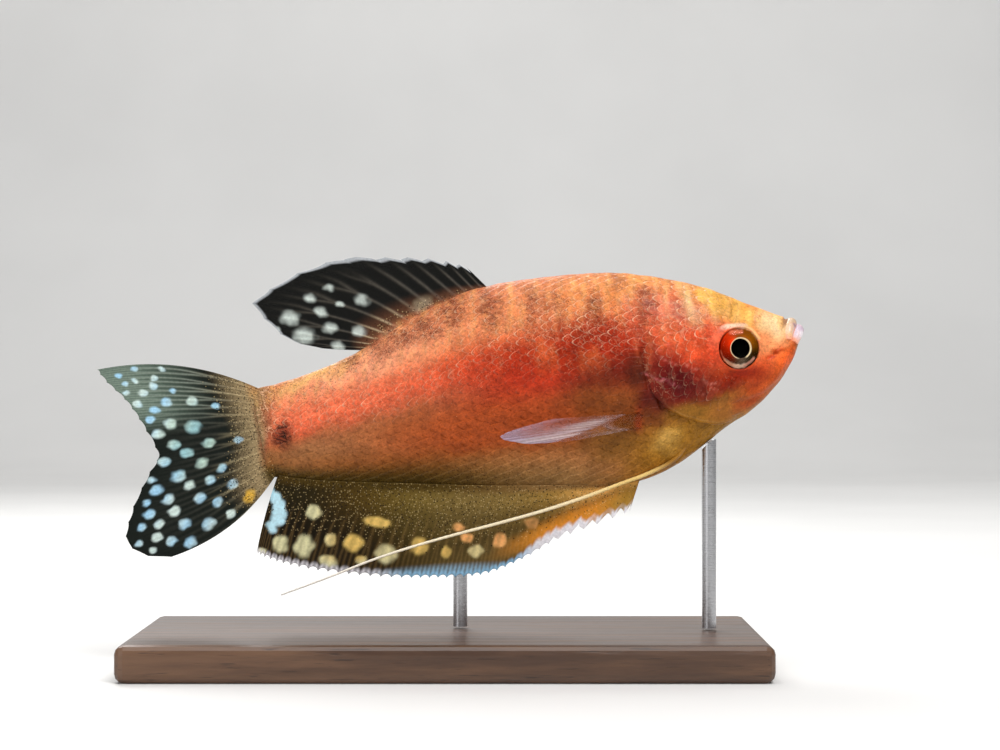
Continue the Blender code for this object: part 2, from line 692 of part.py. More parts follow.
def pectoral_fin(name, side, skin):
    """A fin folded back along the flank, its root sunk in the flank and cut clear of it by the gap."""
    def ray_at(share):
        root_s, root_h, tip_s, tip_h, out = (
            smooth_through(column(PECTORAL_KEYS, k), share) for k in range(1, 6)
        )
        root = Vector((-root_s, side * (half_width_at(root_s, root_h) - PECTORAL_SUNK), root_h))
        return root, Vector((-tip_s, side * out, tip_h)), Vector((0.0, side * PECTORAL_LIFT, 0.0))

    shares, ridges = ray_shares(PECTORAL_RAYS, (0.5,))
    normal = Vector((PECTORAL_NORMAL[0], PECTORAL_NORMAL[1] * side, PECTORAL_NORMAL[2])).normalized()
    columns = fin_columns(
        ray_at, shares, ridges, PECTORAL_ROWS, lambda share: PECTORAL_NOTCH, normal, no_sway, PECTORAL_ROOT
    )
    made = vane(name, columns, skin)
    combine(made, [body_mesh("flank", GAP, start=FLANK_SPAN[0], end=FLANK_SPAN[1])], "DIFFERENCE")
    return made


def feeler(name, side, path, skin):
    """A thread-like pelvic fin that leaves the chest and trails beside the anal fin."""
    points = []
    for k, (station, height, out) in enumerate(path):
        clear = FEELER_ROOT_RADIUS + GAP if k > 1 else -FEELER_SUNK * (1 - k)
        beside = half_width_at(station, height) + clear
        hidden = height > smooth_through(BELLY, station)
        points.append((-station, side * max(out, beside if hidden else FEELER_LEAST_OUT), height))
    places = path_through(points, FEELER_POINTS)
    thinner = FEELER_ROOT_RADIUS - FEELER_TIP_RADIUS
    radii = [FEELER_ROOT_RADIUS - thinner * (k / (FEELER_POINTS - 1)) ** 1.5 for k in range(FEELER_POINTS)]
    made = tube(name, places, radii, FEELER_SIDES)
    combine(made, [body_mesh("chest", GAP, start=FLANK_SPAN[0], end=FLANK_SPAN[1])], "DIFFERENCE")
    made.data.materials.append(skin)
    return made


# Stand

def stand_base(wood):
    bpy.ops.mesh.primitive_cube_add(size=1.0)
    made = bpy.context.active_object
    made.name = "stand_base"
    size = Vector((BASE_LENGTH, BASE_DEPTH, BASE_THICKNESS)) * MM
    for vert in made.data.vertices:
        vert.co = Vector((vert.co.x * size.x, vert.co.y * size.y, (vert.co.z + 0.5) * size.z))
    corners = made.modifiers.new("Corners", "BEVEL")
    corners.width = BASE_BEVEL * MM
    corners.segments = 3
    corners.limit_method = "ANGLE"
    made.data.materials.append(wood)
    return made


def stand_rod(name, x, y, steel, pose):
    """A rod from the base up to the body, ended by the body's own surface less the gap."""
    foot = BASE_THICKNESS + GAP
    bpy.ops.mesh.primitive_cylinder_add(vertices=24, radius=ROD_RADIUS * MM, depth=LIP_HEIGHT * MM)
    made = bpy.context.active_object
    made.name = name
    made.location = Vector((x, y, foot + LIP_HEIGHT / 2)) * MM
    body = body_mesh("rod_end", grow=GAP)
    body.parent = pose
    combine(made, [body], "DIFFERENCE")
    keep_lowest(made)
    made.data.materials.append(steel)
    return made


def keep_lowest(made):
    """Drops what of a rod stands above the body."""
    mesh = bmesh.new()
    mesh.from_mesh(made.data)
    lowest = min(mesh.verts, key=lambda vert: vert.co.z)
    reached, waiting = {lowest}, [lowest]
    while waiting:
        for edge in waiting.pop().link_edges:
            for vert in edge.verts:
                if vert not in reached:
                    reached.add(vert)
                    waiting.append(vert)
    bmesh.ops.delete(mesh, geom=[v for v in mesh.verts if v not in reached], context="VERTS")
    mesh.to_mesh(made.data)
    mesh.free()


def main():
    for old in list(bpy.data.objects):
        bpy.data.objects.remove(old)
    gold = material("gold_skin", (0.78, 0.26, 0.09), 0.4)
    black_fin = material("spotted_fin", (0.03, 0.035, 0.03), 0.45)
    olive_fin = material("anal_fin_skin", (0.2, 0.13, 0.03), 0.45)
    clear_fin = material("clear_fin", (0.75, 0.6, 0.62), 0.4)
    thread = material("feeler_skin", (0.85, 0.68, 0.42), 0.4)
    cornea = material("eye", (0.02, 0.015, 0.01), 0.1)
    wood = material("walnut", (0.12, 0.06, 0.03), 0.5)
    steel = material("steel", (0.6, 0.6, 0.62), 0.3, 1.0)

    pose = bpy.data.objects.new("fish_pose", None)
    bpy.context.scene.collection.objects.link(pose)
    pose.location = Vector((LIP_FORWARD, 0.0, LIP_HEIGHT)) * MM
    pose.rotation_euler = (0.0, -PITCH, 0.0)
    bpy.context.view_layer.update()

    fish = [
        head(gold), torso(gold), tail_stalk(gold),
        gill_cover("gill_cover_right", -1, gold), gill_cover("gill_cover_left", 1, gold),
        eye("eye_right", -1, cornea), eye("eye_left", 1, cornea),
        dorsal_fin(black_fin), anal_fin(olive_fin), caudal_fin(black_fin),
        pectoral_fin("pectoral_fin_right", -1, clear_fin), pectoral_fin("pectoral_fin_left", 1, clear_fin),
        feeler("pelvic_feeler_right", -1, FEELER_RIGHT, thread),
        feeler("pelvic_feeler_left", 1, FEELER_LEFT, thread),
    ]
    for piece in fish:
        piece.parent = pose
    stand = [
        stand_base(wood),
        stand_rod("stand_rod_front", FRONT_ROD_X, 0.0, steel, pose),
        stand_rod("stand_rod_rear", REAR_ROD_X, REAR_ROD_Y, steel, pose),
    ]

    group = bpy.data.collections.new("gold_gourami")
    bpy.context.scene.collection.children.link(group)
    move_to(group, fish + stand)
    for piece in fish + stand:
        piece.data.shade_smooth()
        piece.data.set_sharp_from_angle(angle=math.radians(40))


main()
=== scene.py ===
"""The looks of a life-size gold gourami on a plain stand: skin, scales, fins, eyes, light and camera.

The fish's own frame, in millimetres, has x forward along the body with 0 at the tip of the lower lip,
y to its left and z up towards the back. A "station" is a distance behind the lip. Markings are placed by
pixels of the photograph: to_photo() gives the pixel where a station and height show.
"""

import collections
import math

import bpy
import numpy as np
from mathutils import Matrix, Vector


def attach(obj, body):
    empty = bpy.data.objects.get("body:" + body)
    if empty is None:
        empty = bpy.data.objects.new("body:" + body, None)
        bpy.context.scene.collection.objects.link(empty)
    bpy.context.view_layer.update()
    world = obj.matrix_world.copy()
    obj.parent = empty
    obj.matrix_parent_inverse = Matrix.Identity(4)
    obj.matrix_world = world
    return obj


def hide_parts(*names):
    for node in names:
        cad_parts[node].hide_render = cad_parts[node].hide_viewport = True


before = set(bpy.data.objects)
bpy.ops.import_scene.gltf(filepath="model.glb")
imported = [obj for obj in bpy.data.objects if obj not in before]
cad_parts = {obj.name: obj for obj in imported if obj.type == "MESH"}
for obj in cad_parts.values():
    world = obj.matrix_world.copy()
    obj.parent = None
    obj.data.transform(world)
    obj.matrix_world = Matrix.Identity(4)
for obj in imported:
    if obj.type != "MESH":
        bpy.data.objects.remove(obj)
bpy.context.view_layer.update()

MM = 0.001
PITCH = math.radians(10.5)
LIP = np.array([59.25, 0.0, 55.8])

# The photograph: its scale at the fish's middle plane and the lower lip's pixel
PIXELS_PER_MM = 6.0
LIP_PIXEL = (803.5, 331.0)
FRAME_WIDTH, FRAME_HEIGHT = 1000, 750
LENS, SENSOR = 100.0, 36.0
CAMERA_DISTANCE = FRAME_WIDTH / PIXELS_PER_MM * LENS / SENSOR

# The body, as in the solids
BODY_START, BODY_END = 0.5, 91.5
BACK = [
    (0.5, 0.2), (0.8, 1.0), (1.5, 1.9), (2.3, 2.5), (3.4, 3.2), (5.2, 4.3), (8.0, 5.9), (11.0, 7.8),
    (15.6, 10.4), (20.3, 12.4), (25.1, 14.1), (29.6, 15.3), (34.9, 16.1), (41.5, 16.7), (48.0, 17.0),
    (53.4, 16.8), (58.7, 15.6), (64.1, 14.0), (69.6, 11.7), (74.0, 10.0), (80.4, 8.4),
    (87.3, 7.4), (91.5, 7.2),
]
BELLY = [
    (0.5, 0.0), (0.8, -0.9), (1.4, -2.2), (2.3, -3.8), (3.3, -5.2), (4.6, -6.8), (6.4, -8.4), (8.3, -9.8),
    (10.8, -11.3), (15.0, -13.4), (20.5, -16.2), (25.0, -18.1), (30.5, -19.5), (34.7, -19.7), (38.1, -19.4),
    (44.7, -18.3), (57.8, -15.9), (70.8, -13.1), (83.9, -10.2), (88.7, -8.8), (91.5, -7.8),
]
HALF_WIDTH = [
    (0.5, 0.15), (0.8, 1.0), (1.4, 1.7), (2.3, 2.25), (3.4, 2.75), (5.2, 3.4), (8.0, 4.2), (11.0, 4.9),
    (15.0, 5.8), (20.0, 6.5), (25.0, 6.9), (30.0, 7.0), (36.0, 6.9), (44.0, 6.5), (52.0, 5.9), (60.0, 5.1),
    (68.0, 4.2), (76.0, 3.3), (84.0, 2.4), (91.5, 1.3),
]
WIDEST_LEVEL = [(0.5, 0.45), (8.0, 0.5), (20.0, 0.56), (36.0, 0.6), (60.0, 0.58), (91.5, 0.5)]
BACK_TAPER = [(0.5, 1.0), (20.0, 1.05), (50.0, 1.15), (91.5, 1.0)]
BELLY_TAPER = [(0.5, 1.0), (20.0, 1.12), (40.0, 1.3), (60.0, 1.45), (80.0, 1.2), (91.5, 1.0)]

# The gill opening, as (station, height), seen from a hub in the cheek
GILL_OPENING = [
    (20.0, 13.0), (21.8, 10.1), (23.8, 7.6), (25.5, 4.9), (26.9, 1.8), (27.6, -2.0), (27.1, -5.0),
    (25.0, -8.4), (22.7, -10.4), (20.5, -11.5), (18.0, -12.3), (15.0, -12.4), (11.6, -12.0),
]
GILL_HUB = (12.0, 0.0)
SHOULDER_STEP, SHOULDER_REACH, HEAD_FLARE = 0.45, 7.0, 0.3

EYE_STATION, EYE_HEIGHT, EYE_DEPTH = 11.56, -0.9, 3.4
EYE_RADIUS, EYE_BULGE, EYE_TURN = 3.4, 2.1, math.radians(12)
PUPIL_RADIUS, CORNEA_RADIUS, CORNEA_LEVEL = 1.62, 3.25, 1.28
# The iris's colour by bearing round the pupil: 0 towards the snout and 90 up
IRIS_COLOURS = [
    (-180, (150, 30, 4)), (-160, (124, 24, 4)), (-138, (92, 30, 14)), (-115, (72, 50, 34)),
    (-92, (84, 68, 54)),
    (-62, (48, 38, 20)), (-35, (44, 26, 4)), (-15, (84, 48, 4)), (5, (122, 68, 4)), (35, (146, 80, 8)),
    (62, (150, 78, 14)), (88, (128, 62, 16)), (104, (180, 66, 24)), (125, (222, 58, 14)), (150, (206, 44, 8)),
    (180, (150, 30, 4)),
]
UPPER_LIP_PATH = [(3.0, -0.95, 2.3), (2.65, 0.4, 1.85), (2.15, 1.25, 1.15), (1.78, 1.68, 0.0)]
LOWER_LIP_PATH = [(2.1, -1.55, 1.75), (1.5, -0.65, 1.45), (1.08, 0.0, 0.88), (0.92, 0.35, 0.0)]
UPPER_LIP_RADIUS, LOWER_LIP_RADIUS = 0.9, 0.98
GAPE_PATH = [(2.35, -1.1, 1.95), (1.8, 0.25, 1.6), (1.48, 1.05, 0.95), (1.32, 1.4, 0.0)]
GAPE_RADIUS = 0.2
NOSTRILS = [(5.2, 2.2, 0.3), (7.6, 3.3, 0.42)]

# Fins, as key rays, as in the solids
ANAL_SPACING = [(0.0, 0.0), (0.17, 0.27), (0.5, 0.58), (1.0, 1.0)]
ANAL_KEYS = [
    (0.00, 31.2, 34.0, -24.3, 0.0), (0.12, 36.5, 39.8, -25.4, 0.0), (0.25, 42.5, 46.5, -26.6, 0.1),
    (0.35, 48.0, 53.0, -28.9, 0.2), (0.45, 53.5, 60.0, -30.2, 0.3), (0.60, 63.0, 71.0, -28.7, 0.4),
    (0.80, 76.5, 85.0, -25.1, 0.5), (0.93, 86.0, 93.2, -21.9, 0.3), (1.00, 90.4, 96.4, -19.9, 0.3),
]
DORSAL_KEYS = [
    (0.00, 50.3, 53.2, 20.6, 0.0), (0.07, 52.0, 55.6, 22.0, 0.0), (0.20, 55.0, 61.3, 23.8, 0.1),
    (0.32, 58.0, 66.5, 24.8, 0.3), (0.45, 61.0, 73.5, 25.9, 0.6), (0.58, 64.0, 80.5, 25.0, 0.9),
    (0.70, 66.5, 87.0, 22.7, 1.0), (0.77, 68.0, 89.5, 21.2, 0.9), (0.86, 69.8, 87.6, 17.7, 0.4),
    (0.94, 71.2, 84.2, 13.9, 0.0), (1.00, 72.2, 79.5, 11.8, -0.1),
]
CAUDAL_ROOT = 91.8
CAUDAL_KEYS = [
    (0.00, 7.0, 117.5, 15.2, 2.3), (0.10, 6.1, 116.4, 13.2, 1.5), (0.25, 4.1, 113.3, 9.0, 0.6),
    (0.40, 1.7, 111.0, 4.0, 0.2), (0.50, -0.3, 109.6, -0.6, 0.0), (0.60, -2.2, 111.7, -3.6, -0.2),
    (0.72, -4.5, 115.4, -9.0, -0.4), (0.84, -6.1, 117.2, -13.6, -0.9), (0.93, -7.0, 114.6, -16.7, -1.5),
    (1.00, -7.6, 110.5, -17.8, -2.0),
]
CAUDAL_SWAY_TOP, CAUDAL_SWAY_BOTTOM = 3.2, -1.4
PECTORAL_KEYS = [
    (0.00, 28.4, -8.6, 44.0, -6.6, 12.2), (0.35, 28.5, -9.1, 50.8, -7.2, 13.0),
    (0.60, 28.6, -9.6, 53.0, -8.0, 11.6), (0.80, 28.7, -10.1, 48.5, -9.9, 9.6),
    (1.00, 28.8, -10.6, 41.0, -10.7, 8.0),
]
PECTORAL_SUNK, PECTORAL_LIFT = 0.9, 1.3
PECTORAL_LOW_EDGE = [500, 550, 580, 612, 640], [452, 443, 433, 420, 414]
FEELER_RIGHT = [
    (22.6, -14.6, 0.0), (24.2, -16.4, 0.0), (26.3, -17.5, 0.0), (28.6, -18.2, 0.0), (31.2, -18.8, 0.0),
    (34.7, -19.4, 0.0), (41.7, -20.6, 1.9), (48.6, -21.5, 2.0), (55.5, -22.1, 2.2), (62.4, -22.6, 2.4),
    (69.3, -23.2, 2.7), (76.5, -24.1, 3.1), (85.0, -25.7, 3.6), (93.3, -27.1, 4.1),
]
FEELER_LEFT = [
    (22.6, -14.6, 0.0), (24.2, -16.4, 0.0), (26.3, -17.5, 0.0), (28.6, -18.2, 0.0), (31.2, -18.8, 0.0),
    (34.7, -19.2, 0.0), (41.7, -19.9, 1.6), (48.6, -20.5, 1.3), (55.5, -21.0, 1.25), (62.4, -21.4, 1.25),
    (69.3, -21.6, 1.25), (76.5, -21.5, 1.3), (83.0, -21.0, 1.5), (89.0, -20.2, 1.8),
]
FEELER_ROOT_RADIUS, FEELER_TIP_RADIUS = 0.34, 0.16
FEELER_SUNK, FEELER_LEAST_OUT, GAP = 0.9, 1.2, 0.3

# How each fin is meshed: notches are the depths between spines and between rays
Vane = collections.namedtuple(
    "Vane", "rays spines per_ray rows branch_at notches root_thickness root_fade thin rib",
    defaults=(1.5, 0.07, 0.2, 0.26),
)
DORSAL_VANE = Vane(17, 8, 16, 90, (0.45,), (1.4, 0.5))
ANAL_VANE = Vane(46, 8, 8, 64, (0.55,), (1.9, 0.55), root_thickness=2.0, root_fade=0.1)
TAIL_VANE = Vane(18, 0, 18, 110, (0.25, 0.6), (0.3, 0.3), root_thickness=2.3, root_fade=0.11)
PECTORAL_VANE = Vane(10, 0, 12, 70, (0.4,), (0.3, 0.3), root_thickness=1.3, thin=0.12, rib=0.22)
PECTORAL_OUT, PECTORAL_SLOPE = 9.0, (0.4, -0.92)

SIDE_NAMES = {-1: "right", 1: "left"}
HEAD_END, HEAD_ROWS, TRUNK_ROWS, SKIN_COLUMNS = 26.0, 125, 150, 300
# Cross sections of soft rims: distance from the opening or the eye's axis, and lift off the skin
GILL_FLAP_PROFILE = [
    (-3.4, 0.0, 0), (-2.6, 0.27, 0), (-1.5, 0.37, 0), (-0.45, 0.42, 0), (-0.1, 0.34, 0), (0.0, 0.18, 0),
    (-0.1, 0.02, 0), (-0.5, -0.12, 0), (-1.4, -0.35, 0),
]
GILL_FLAP_ROWS, GILL_FLAP_OUTER_ROWS = 34, 20
ORBIT_PROFILE = [
    (5.4, -0.12, 0), (4.7, 0.02, 0), (4.2, 0.14, 0), (3.8, 0.3, 0), (3.6, 0.36, 0), (3.44, 0.24, 0),
    (3.38, 0.0, 0), (3.3, -0.9, 0),
]
EYEBALL_PROFILE = [
    (3.34, -0.5, 0), (3.42, 0.5, 0), (3.4, 1.18, 0), (3.3, 1.36, 0), (3.05, 1.4, 0), (2.7, 1.42, 0),
    (2.2, 1.44, 0), (1.8, 1.46, 0), (PUPIL_RADIUS + 0.02, 1.42, 0), (PUPIL_RADIUS - 0.06, 1.2, 0),
    (1.4, 0.75, 0), (0.9, 0.5, 0), (0.02, 0.45, 0),
]
EYE_SIDES, CORNEA_ROWS = 112, 26
NOSTRIL_PROFILE = [
    (1.8, -0.08), (1.45, 0.05), (1.15, 0.13), (0.95, 0.1), (0.85, -0.02), (0.7, -0.22), (0.02, -0.3),
]

# Scales: stations of the first and last column on the trunk and head, and their spacing
TRUNK_SCALES, HEAD_SCALES = (17.0, 89.0), (13.0, 27.5)
COLUMN_PITCH, HEAD_PITCH = 1.5, 1.7
SCALE_CELLS, HEAD_SCALE_CELLS = 5, 8
SCALE_LIFT, SCALE_THICKNESS, SCALE_TILT = 0.09, 0.02, -0.03
BAKE_PATCH = 0.003

# Patches of colour on the flank and head: colour, pixel centre, half lengths along and across, tilt, strength
PATCHES = [
    ("peach back", (218, 128, 86), (520, 312), (190, 34), 4, 0.6),
    ("nape gold", (238, 148, 74), (640, 288), (70, 20), 2, 0.6),
    ("hind back", (248, 160, 122), (352, 376), (90, 22), -24, 0.85),
    ("gold ridge", (240, 186, 112), (318, 373), (44, 7), -26, 0.8),
    ("red band front", (152, 28, 8), (625, 338), (60, 24), -4, 0.75),
    ("red band middle", (178, 44, 18), (525, 366), (100, 26), -14, 0.85),
    ("red band rear", (238, 108, 70), (345, 408), (110, 21), -15, 0.85),
    ("tan over the wedge", (172, 106, 70), (376, 430), (96, 15), -20, 0.8),
    ("tan wedge", (172, 120, 76), (350, 448), (94, 20), -12, 0.9),
    ("rust flank", (176, 76, 30), (480, 428), (120, 26), -6, 0.8),
    ("maroon behind the gill", (84, 14, 2), (604, 376), (32, 15), -18, 0.8),
    ("brown lower flank", (146, 80, 30), (430, 468), (150, 14), 0, 0.75),
    ("brown by the fin", (124, 66, 22), (612, 402), (46, 20), 0, 0.8),
    ("tan belly", (196, 124, 72), (556, 470), (104, 20), -3, 0.9),
    ("olive chest side", (122, 80, 28), (616, 440), (34, 18), 0, 0.75),
    ("yellow chest", (166, 112, 30), (680, 442), (52, 27), -30, 0.95),
    ("throat", (160, 114, 36), (728, 412), (30, 14), -35, 0.8),
    # Painted shade in the notch just behind the gill cover's lower edge.
    ("painted shade in the notch", (84, 20, 8), (653, 405), (13, 17), -24, 1.0),
    ("rust behind the notch", (164, 54, 20), (640, 418), (5, 12), 4, 0.8),
    ("mouth corner", (246, 178, 150), (791, 338), (5, 5), 0, 0.85),
    ("chest cream", (214, 172, 96), (668, 440), (14, 10), -30, 0.6),
    ("crown", (242, 170, 76), (712, 298), (66, 20), 14, 0.9),
    ("nape flush", (230, 112, 78), (668, 314), (36, 28), 0, 0.8),
    ("behind the upper lip", (250, 206, 178), (784, 330), (5, 9), 0, 0.75),
    ("salmon below the lips", (255, 158, 108), (780, 344), (12, 7), -20, 0.75),
    ("forehead", (232, 140, 66), (765, 312), (26, 9), 20, 0.6),
    ("snout", (244, 190, 120), (776, 328), (20, 12), 30, 0.8),
    ("cheek", (232, 78, 40), (696, 344), (34, 24), 0, 0.9),
    ("lower gill cover", (86, 6, 6), (676, 381), (34, 20), 20, 0.95),
    # Painted shade along the gill cover's rear edge, where it stands over the shoulder.
    ("painted shade at the gill cover edge", (118, 34, 20), (650, 372), (8, 30), 0, 0.6),
    ("gill cover rim", (146, 98, 30), (700, 410), (46, 9), -6, 0.9),
    ("ochre cheek", (166, 98, 40), (735, 402), (30, 12), -34, 0.75),
    ("lower jaw", (204, 84, 32), (768, 374), (34, 16), -50, 0.85),
    ("chin", (255, 104, 38), (786, 357), (9, 14), 30, 0.95),
    ("chin peach", (255, 150, 92), (787, 341), (9, 6), 0, 0.85),
    ("salmon before the eye", (255, 158, 100), (769, 345), (14, 17), 20, 0.95),
    ("salmon under the eye", (232, 96, 48), (762, 364), (16, 8), -30, 0.8),
    ("shade on the band", (118, 26, 2), (576, 360), (26, 13), -8, 0.4),
    ("gold shoulder", (212, 112, 54), (598, 300), (30, 18), -4, 0.4),
    ("shade behind the gill cover", (58, 18, 0), (637, 374), (10, 14), 10, 0.7),
    ("nape between the scales", (206, 88, 52), (672, 311), (30, 26), 0, 0.6),
    ("lemon streak", (255, 232, 162), (690, 305), (6, 20), -19, 0.85),
    ("crown streak", (255, 206, 90), (703, 296), (5, 10), -10, 0.6),
    ("crown streak", (255, 206, 90), (713, 302), (6, 14), -10, 0.6),
    ("crown streak", (254, 206, 96), (737, 312), (5, 12), -6, 0.6),
    ("crown streak", (252, 202, 96), (750, 317), (4, 9), 0, 0.6),
    ("nape cream", (250, 190, 130), (664, 294), (5, 12), -10, 0.5),
    ("snout yellow", (255, 222, 156), (771, 325), (11, 8), 20, 0.7),
    ("snout pink", (252, 176, 130), (762, 316), (7, 6), 20, 0.7),
    ("brow", (238, 172, 84), (740, 313), (18, 10), 10, 0.6),
    ("snout cream", (255, 216, 166), (775, 325), (13, 9), 20, 0.7),
    ("cheek by the eye", (244, 120, 92), (716, 338), (5, 12), 0, 0.5),
    # Painted shade in the folds behind the mouth's corner.
    ("painted shade in a jaw fold", (178, 58, 12), (778, 350), (7, 3), -8, 0.75),
    ("painted shade in a jaw fold", (140, 36, 2), (777, 354), (3.5, 2.2), 0, 0.8),
    ("painted shade in a jaw fold", (196, 62, 22), (771, 358), (5, 2.6), 0, 0.7),
    # Painted shade in the crease behind the upper lip.
    ("lip crease", (150, 108, 78), (784.5, 322), (1.8, 6), 14, 0.8),
    ("under the eye", (146, 30, 2), (736, 379), (28, 10), -14, 0.9),
    ("jaw blush", (168, 58, 18), (750, 399), (16, 6), -30, 0.6),
    ("tail line", (176, 50, 30), (268, 428), (3, 30), 4, 0.7),
    ("tail base", (138, 124, 86), (250, 432), (18, 54), 4, 0.95),
]
# Levels of colour from the belly (0) to the back (1): the fish's own orange back and olive belly, with
# painted shade that darkens the lower levels as a top light does
FLESH_LEVELS = [
    (0.0, (140, 104, 46)), (0.1, (134, 90, 38)), (0.22, (136, 72, 28)), (0.36, (168, 70, 30)),
    (0.5, (200, 68, 36)), (0.64, (222, 92, 52)), (0.8, (234, 132, 80)), (0.95, (228, 136, 84)),
    (1.0, (206, 118, 76)),
]
# Dark bars of the back, and places of the flesh, each as pixel centre, width and height
BARS = [
    (352, 362, 16, 14), (378, 349, 22, 16), (402, 338, 28, 18), (428, 329, 34, 28), (455, 312, 26, 40),
    (488, 310, 20, 50), (531, 308, 16, 44), (558, 298, 14, 34), (594, 303, 14, 32), (618, 284, 10, 14),
    (645, 300, 12, 24),
]
BAR_TILT = 4
TAIL_SPOT = (283, 434, 16, 30)
FRONT_FLANK = (592, 325, 210, 92)
NAPE = (686, 306, 68, 66)
# Where dark dots and pale lines lie: strength, place, tilt and softness
HIND_BACK = ((344, 352, 240, 50), -26, 0.8)
TAIL_BASE = ((250, 430, 44, 120), 4, 0.6)
TRUNK_DOTS = [
    (0.5, *HIND_BACK), (0.35, (492, 388, 34, 70), 10, 0.8), (0.4, (590, 335, 170, 60), -4, 0.8),
    (0.85, *TAIL_BASE),
]
HEAD_DOTS = [(0.08, (700, 292, 110, 44), 14, 0.8), (0.3, (706, 342, 14, 44), 8, 0.6)]
TRUNK_LINES = [
    (0.65, (560, 318, 260, 70), -4, 0.8), (0.6, *HIND_BACK), (0.5, (360, 402, 210, 44), -18, 0.8),
    (0.4, *TAIL_BASE),
]
# Fine strokes of the head: colour, width, strength and pixel points along each
STROKES = [
    ((252, 214, 120), 4.5, 0.45, [(748, 311), (748, 324)]),
    ((250, 200, 90), 8.0, 0.5, [(722, 296), (724, 306)]),
    ((255, 220, 140), 2.2, 0.7, [(710, 293), (712, 300), (710, 307)]),
    ((255, 222, 180), 1.6, 0.5, [(676, 288), (677, 300), (678, 322)]),
    ((255, 190, 150), 1.5, 0.6, [(662, 318), (670, 316), (677, 314), (685, 315)]),
    ((250, 180, 140), 1.5, 0.6, [(660, 302), (661, 320), (664, 330), (671, 334)]),
    ((255, 180, 140), 1.5, 0.6, [(663, 300), (670, 304), (677, 301)]),
    ((255, 180, 140), 1.5, 0.5, [(668, 304), (669, 315)]),
    ((255, 200, 150), 1.5, 0.5, [(690, 309), (697, 306), (703, 309)]),
    ((250, 160, 110), 1.8, 0.5, [(703, 306), (704, 334)]),
    ((130, 84, 30), 3.0, 0.5, [(729, 305), (730, 321)]),
    ((120, 76, 44), 3.2, 0.5, [(731, 300), (734, 304), (737, 303)]),
    # The next two strokes are painted shade in the openings of the rear nostril.
    ((190, 80, 20), 3.0, 0.7, [(757, 314), (759, 316)]),
    ((190, 80, 20), 3.4, 0.7, [(755, 322), (757, 324)]),
    ((214, 110, 50), 1.6, 0.7, [(757, 326), (757, 332)]),
    ((236, 96, 40), 4.0, 0.6, [(748, 306), (751, 308)]),
    ((150, 16, 2), 2.6, 0.8, [(705, 326), (708, 329)]),
    ((150, 16, 2), 2.4, 0.7, [(709, 330), (712, 333)]),
    ((156, 16, 2), 2.6, 0.8, [(707, 335), (711, 338)]),
    ((150, 14, 2), 2.4, 0.7, [(710, 342), (713, 344)]),
    ((156, 16, 2), 2.6, 0.8, [(705, 346), (708, 348)]),
    ((150, 14, 2), 2.6, 0.7, [(710, 351), (714, 353)]),
    ((156, 16, 2), 2.4, 0.7, [(706, 354), (709, 357)]),
    ((150, 14, 2), 2.4, 0.7, [(711, 360), (715, 361)]),
    # The next four strokes are painted shade in the folds behind the mouth's corner.
    ((214, 70, 30), 2.4, 0.7, [(768, 343), (773, 344)]),
    ((186, 62, 14), 4.0, 0.75, [(773, 349), (782, 348)]),
    ((140, 36, 0), 3.0, 0.8, [(776, 352), (779, 353)]),
    ((196, 62, 22), 3.0, 0.8, [(769, 357), (774, 357)]),
    ((170, 66, 6), 5.0, 0.7, [(793, 344), (792, 352)]),
    ((180, 66, 6), 4.5, 0.7, [(771, 380), (777, 374)]),
    # Painted shade in the crease behind the upper lip.
    ((120, 70, 50), 1.8, 0.7, [(784, 327), (786, 321), (790, 318)]),
    ((240, 130, 112), 1.7, 0.7, [(649, 344), (655, 349), (661, 350)]),
    ((240, 130, 116), 1.7, 0.7, [(659, 356), (666, 361), (676, 365)]),
    ((216, 120, 120), 1.7, 0.7, [(644, 373), (652, 377), (662, 381)]),
    ((206, 110, 120), 1.7, 0.7, [(662, 378), (668, 381), (679, 387)]),
    ((240, 140, 120), 1.6, 0.7, [(684, 363), (690, 368), (698, 369)]),
    ((240, 150, 130), 1.8, 0.8, [(703, 381), (708, 384), (716, 383)]),
    ((220, 130, 110), 1.5, 0.6, [(700, 391), (704, 398)]),
    ((240, 134, 110), 1.6, 0.6, [(676, 346), (683, 350)]),
    ((240, 134, 110), 1.5, 0.6, [(664, 342), (671, 348)]),
    ((220, 130, 112), 1.5, 0.5, [(708, 387), (722, 392)]),
]
# Strokes on the eye and its rim, and on the lips, in the same form
EYE_STROKES = [
    # The next four strokes are painted highlights: peach over the top of the iris, and a pale band over the
    # top of the eye and down its front.
    ((236, 130, 96), 4.0, 0.85, [(731, 332.2), (741, 331.8)]),
    ((248, 216, 184), 4.2, 0.75, [(727, 326.6), (737, 325.6), (745, 326.2)]),
    ((246, 196, 168), 4.6, 0.6, [(722.5, 327.6), (728, 326.6)]),
    ((250, 196, 130), 3.0, 0.8, [(745, 327), (752, 330.5), (758.5, 339)]),
    # A painted reflection on the eye's lower rear rim; the strokes after it are the pale lower rim.
    ((206, 128, 94), 2.2, 0.85, [(719.8, 351), (721.8, 356), (725, 360.5)]),
    ((226, 172, 136), 3.2, 0.9, [(725, 360.5), (731, 364.6), (738, 366.4)]),
    ((238, 200, 172), 3.6, 0.9, [(735, 366.2), (741, 366.4), (745, 365.2)]),
    ((206, 144, 122), 2.4, 0.85, [(745, 365.2), (750, 362), (754, 358)]),
]
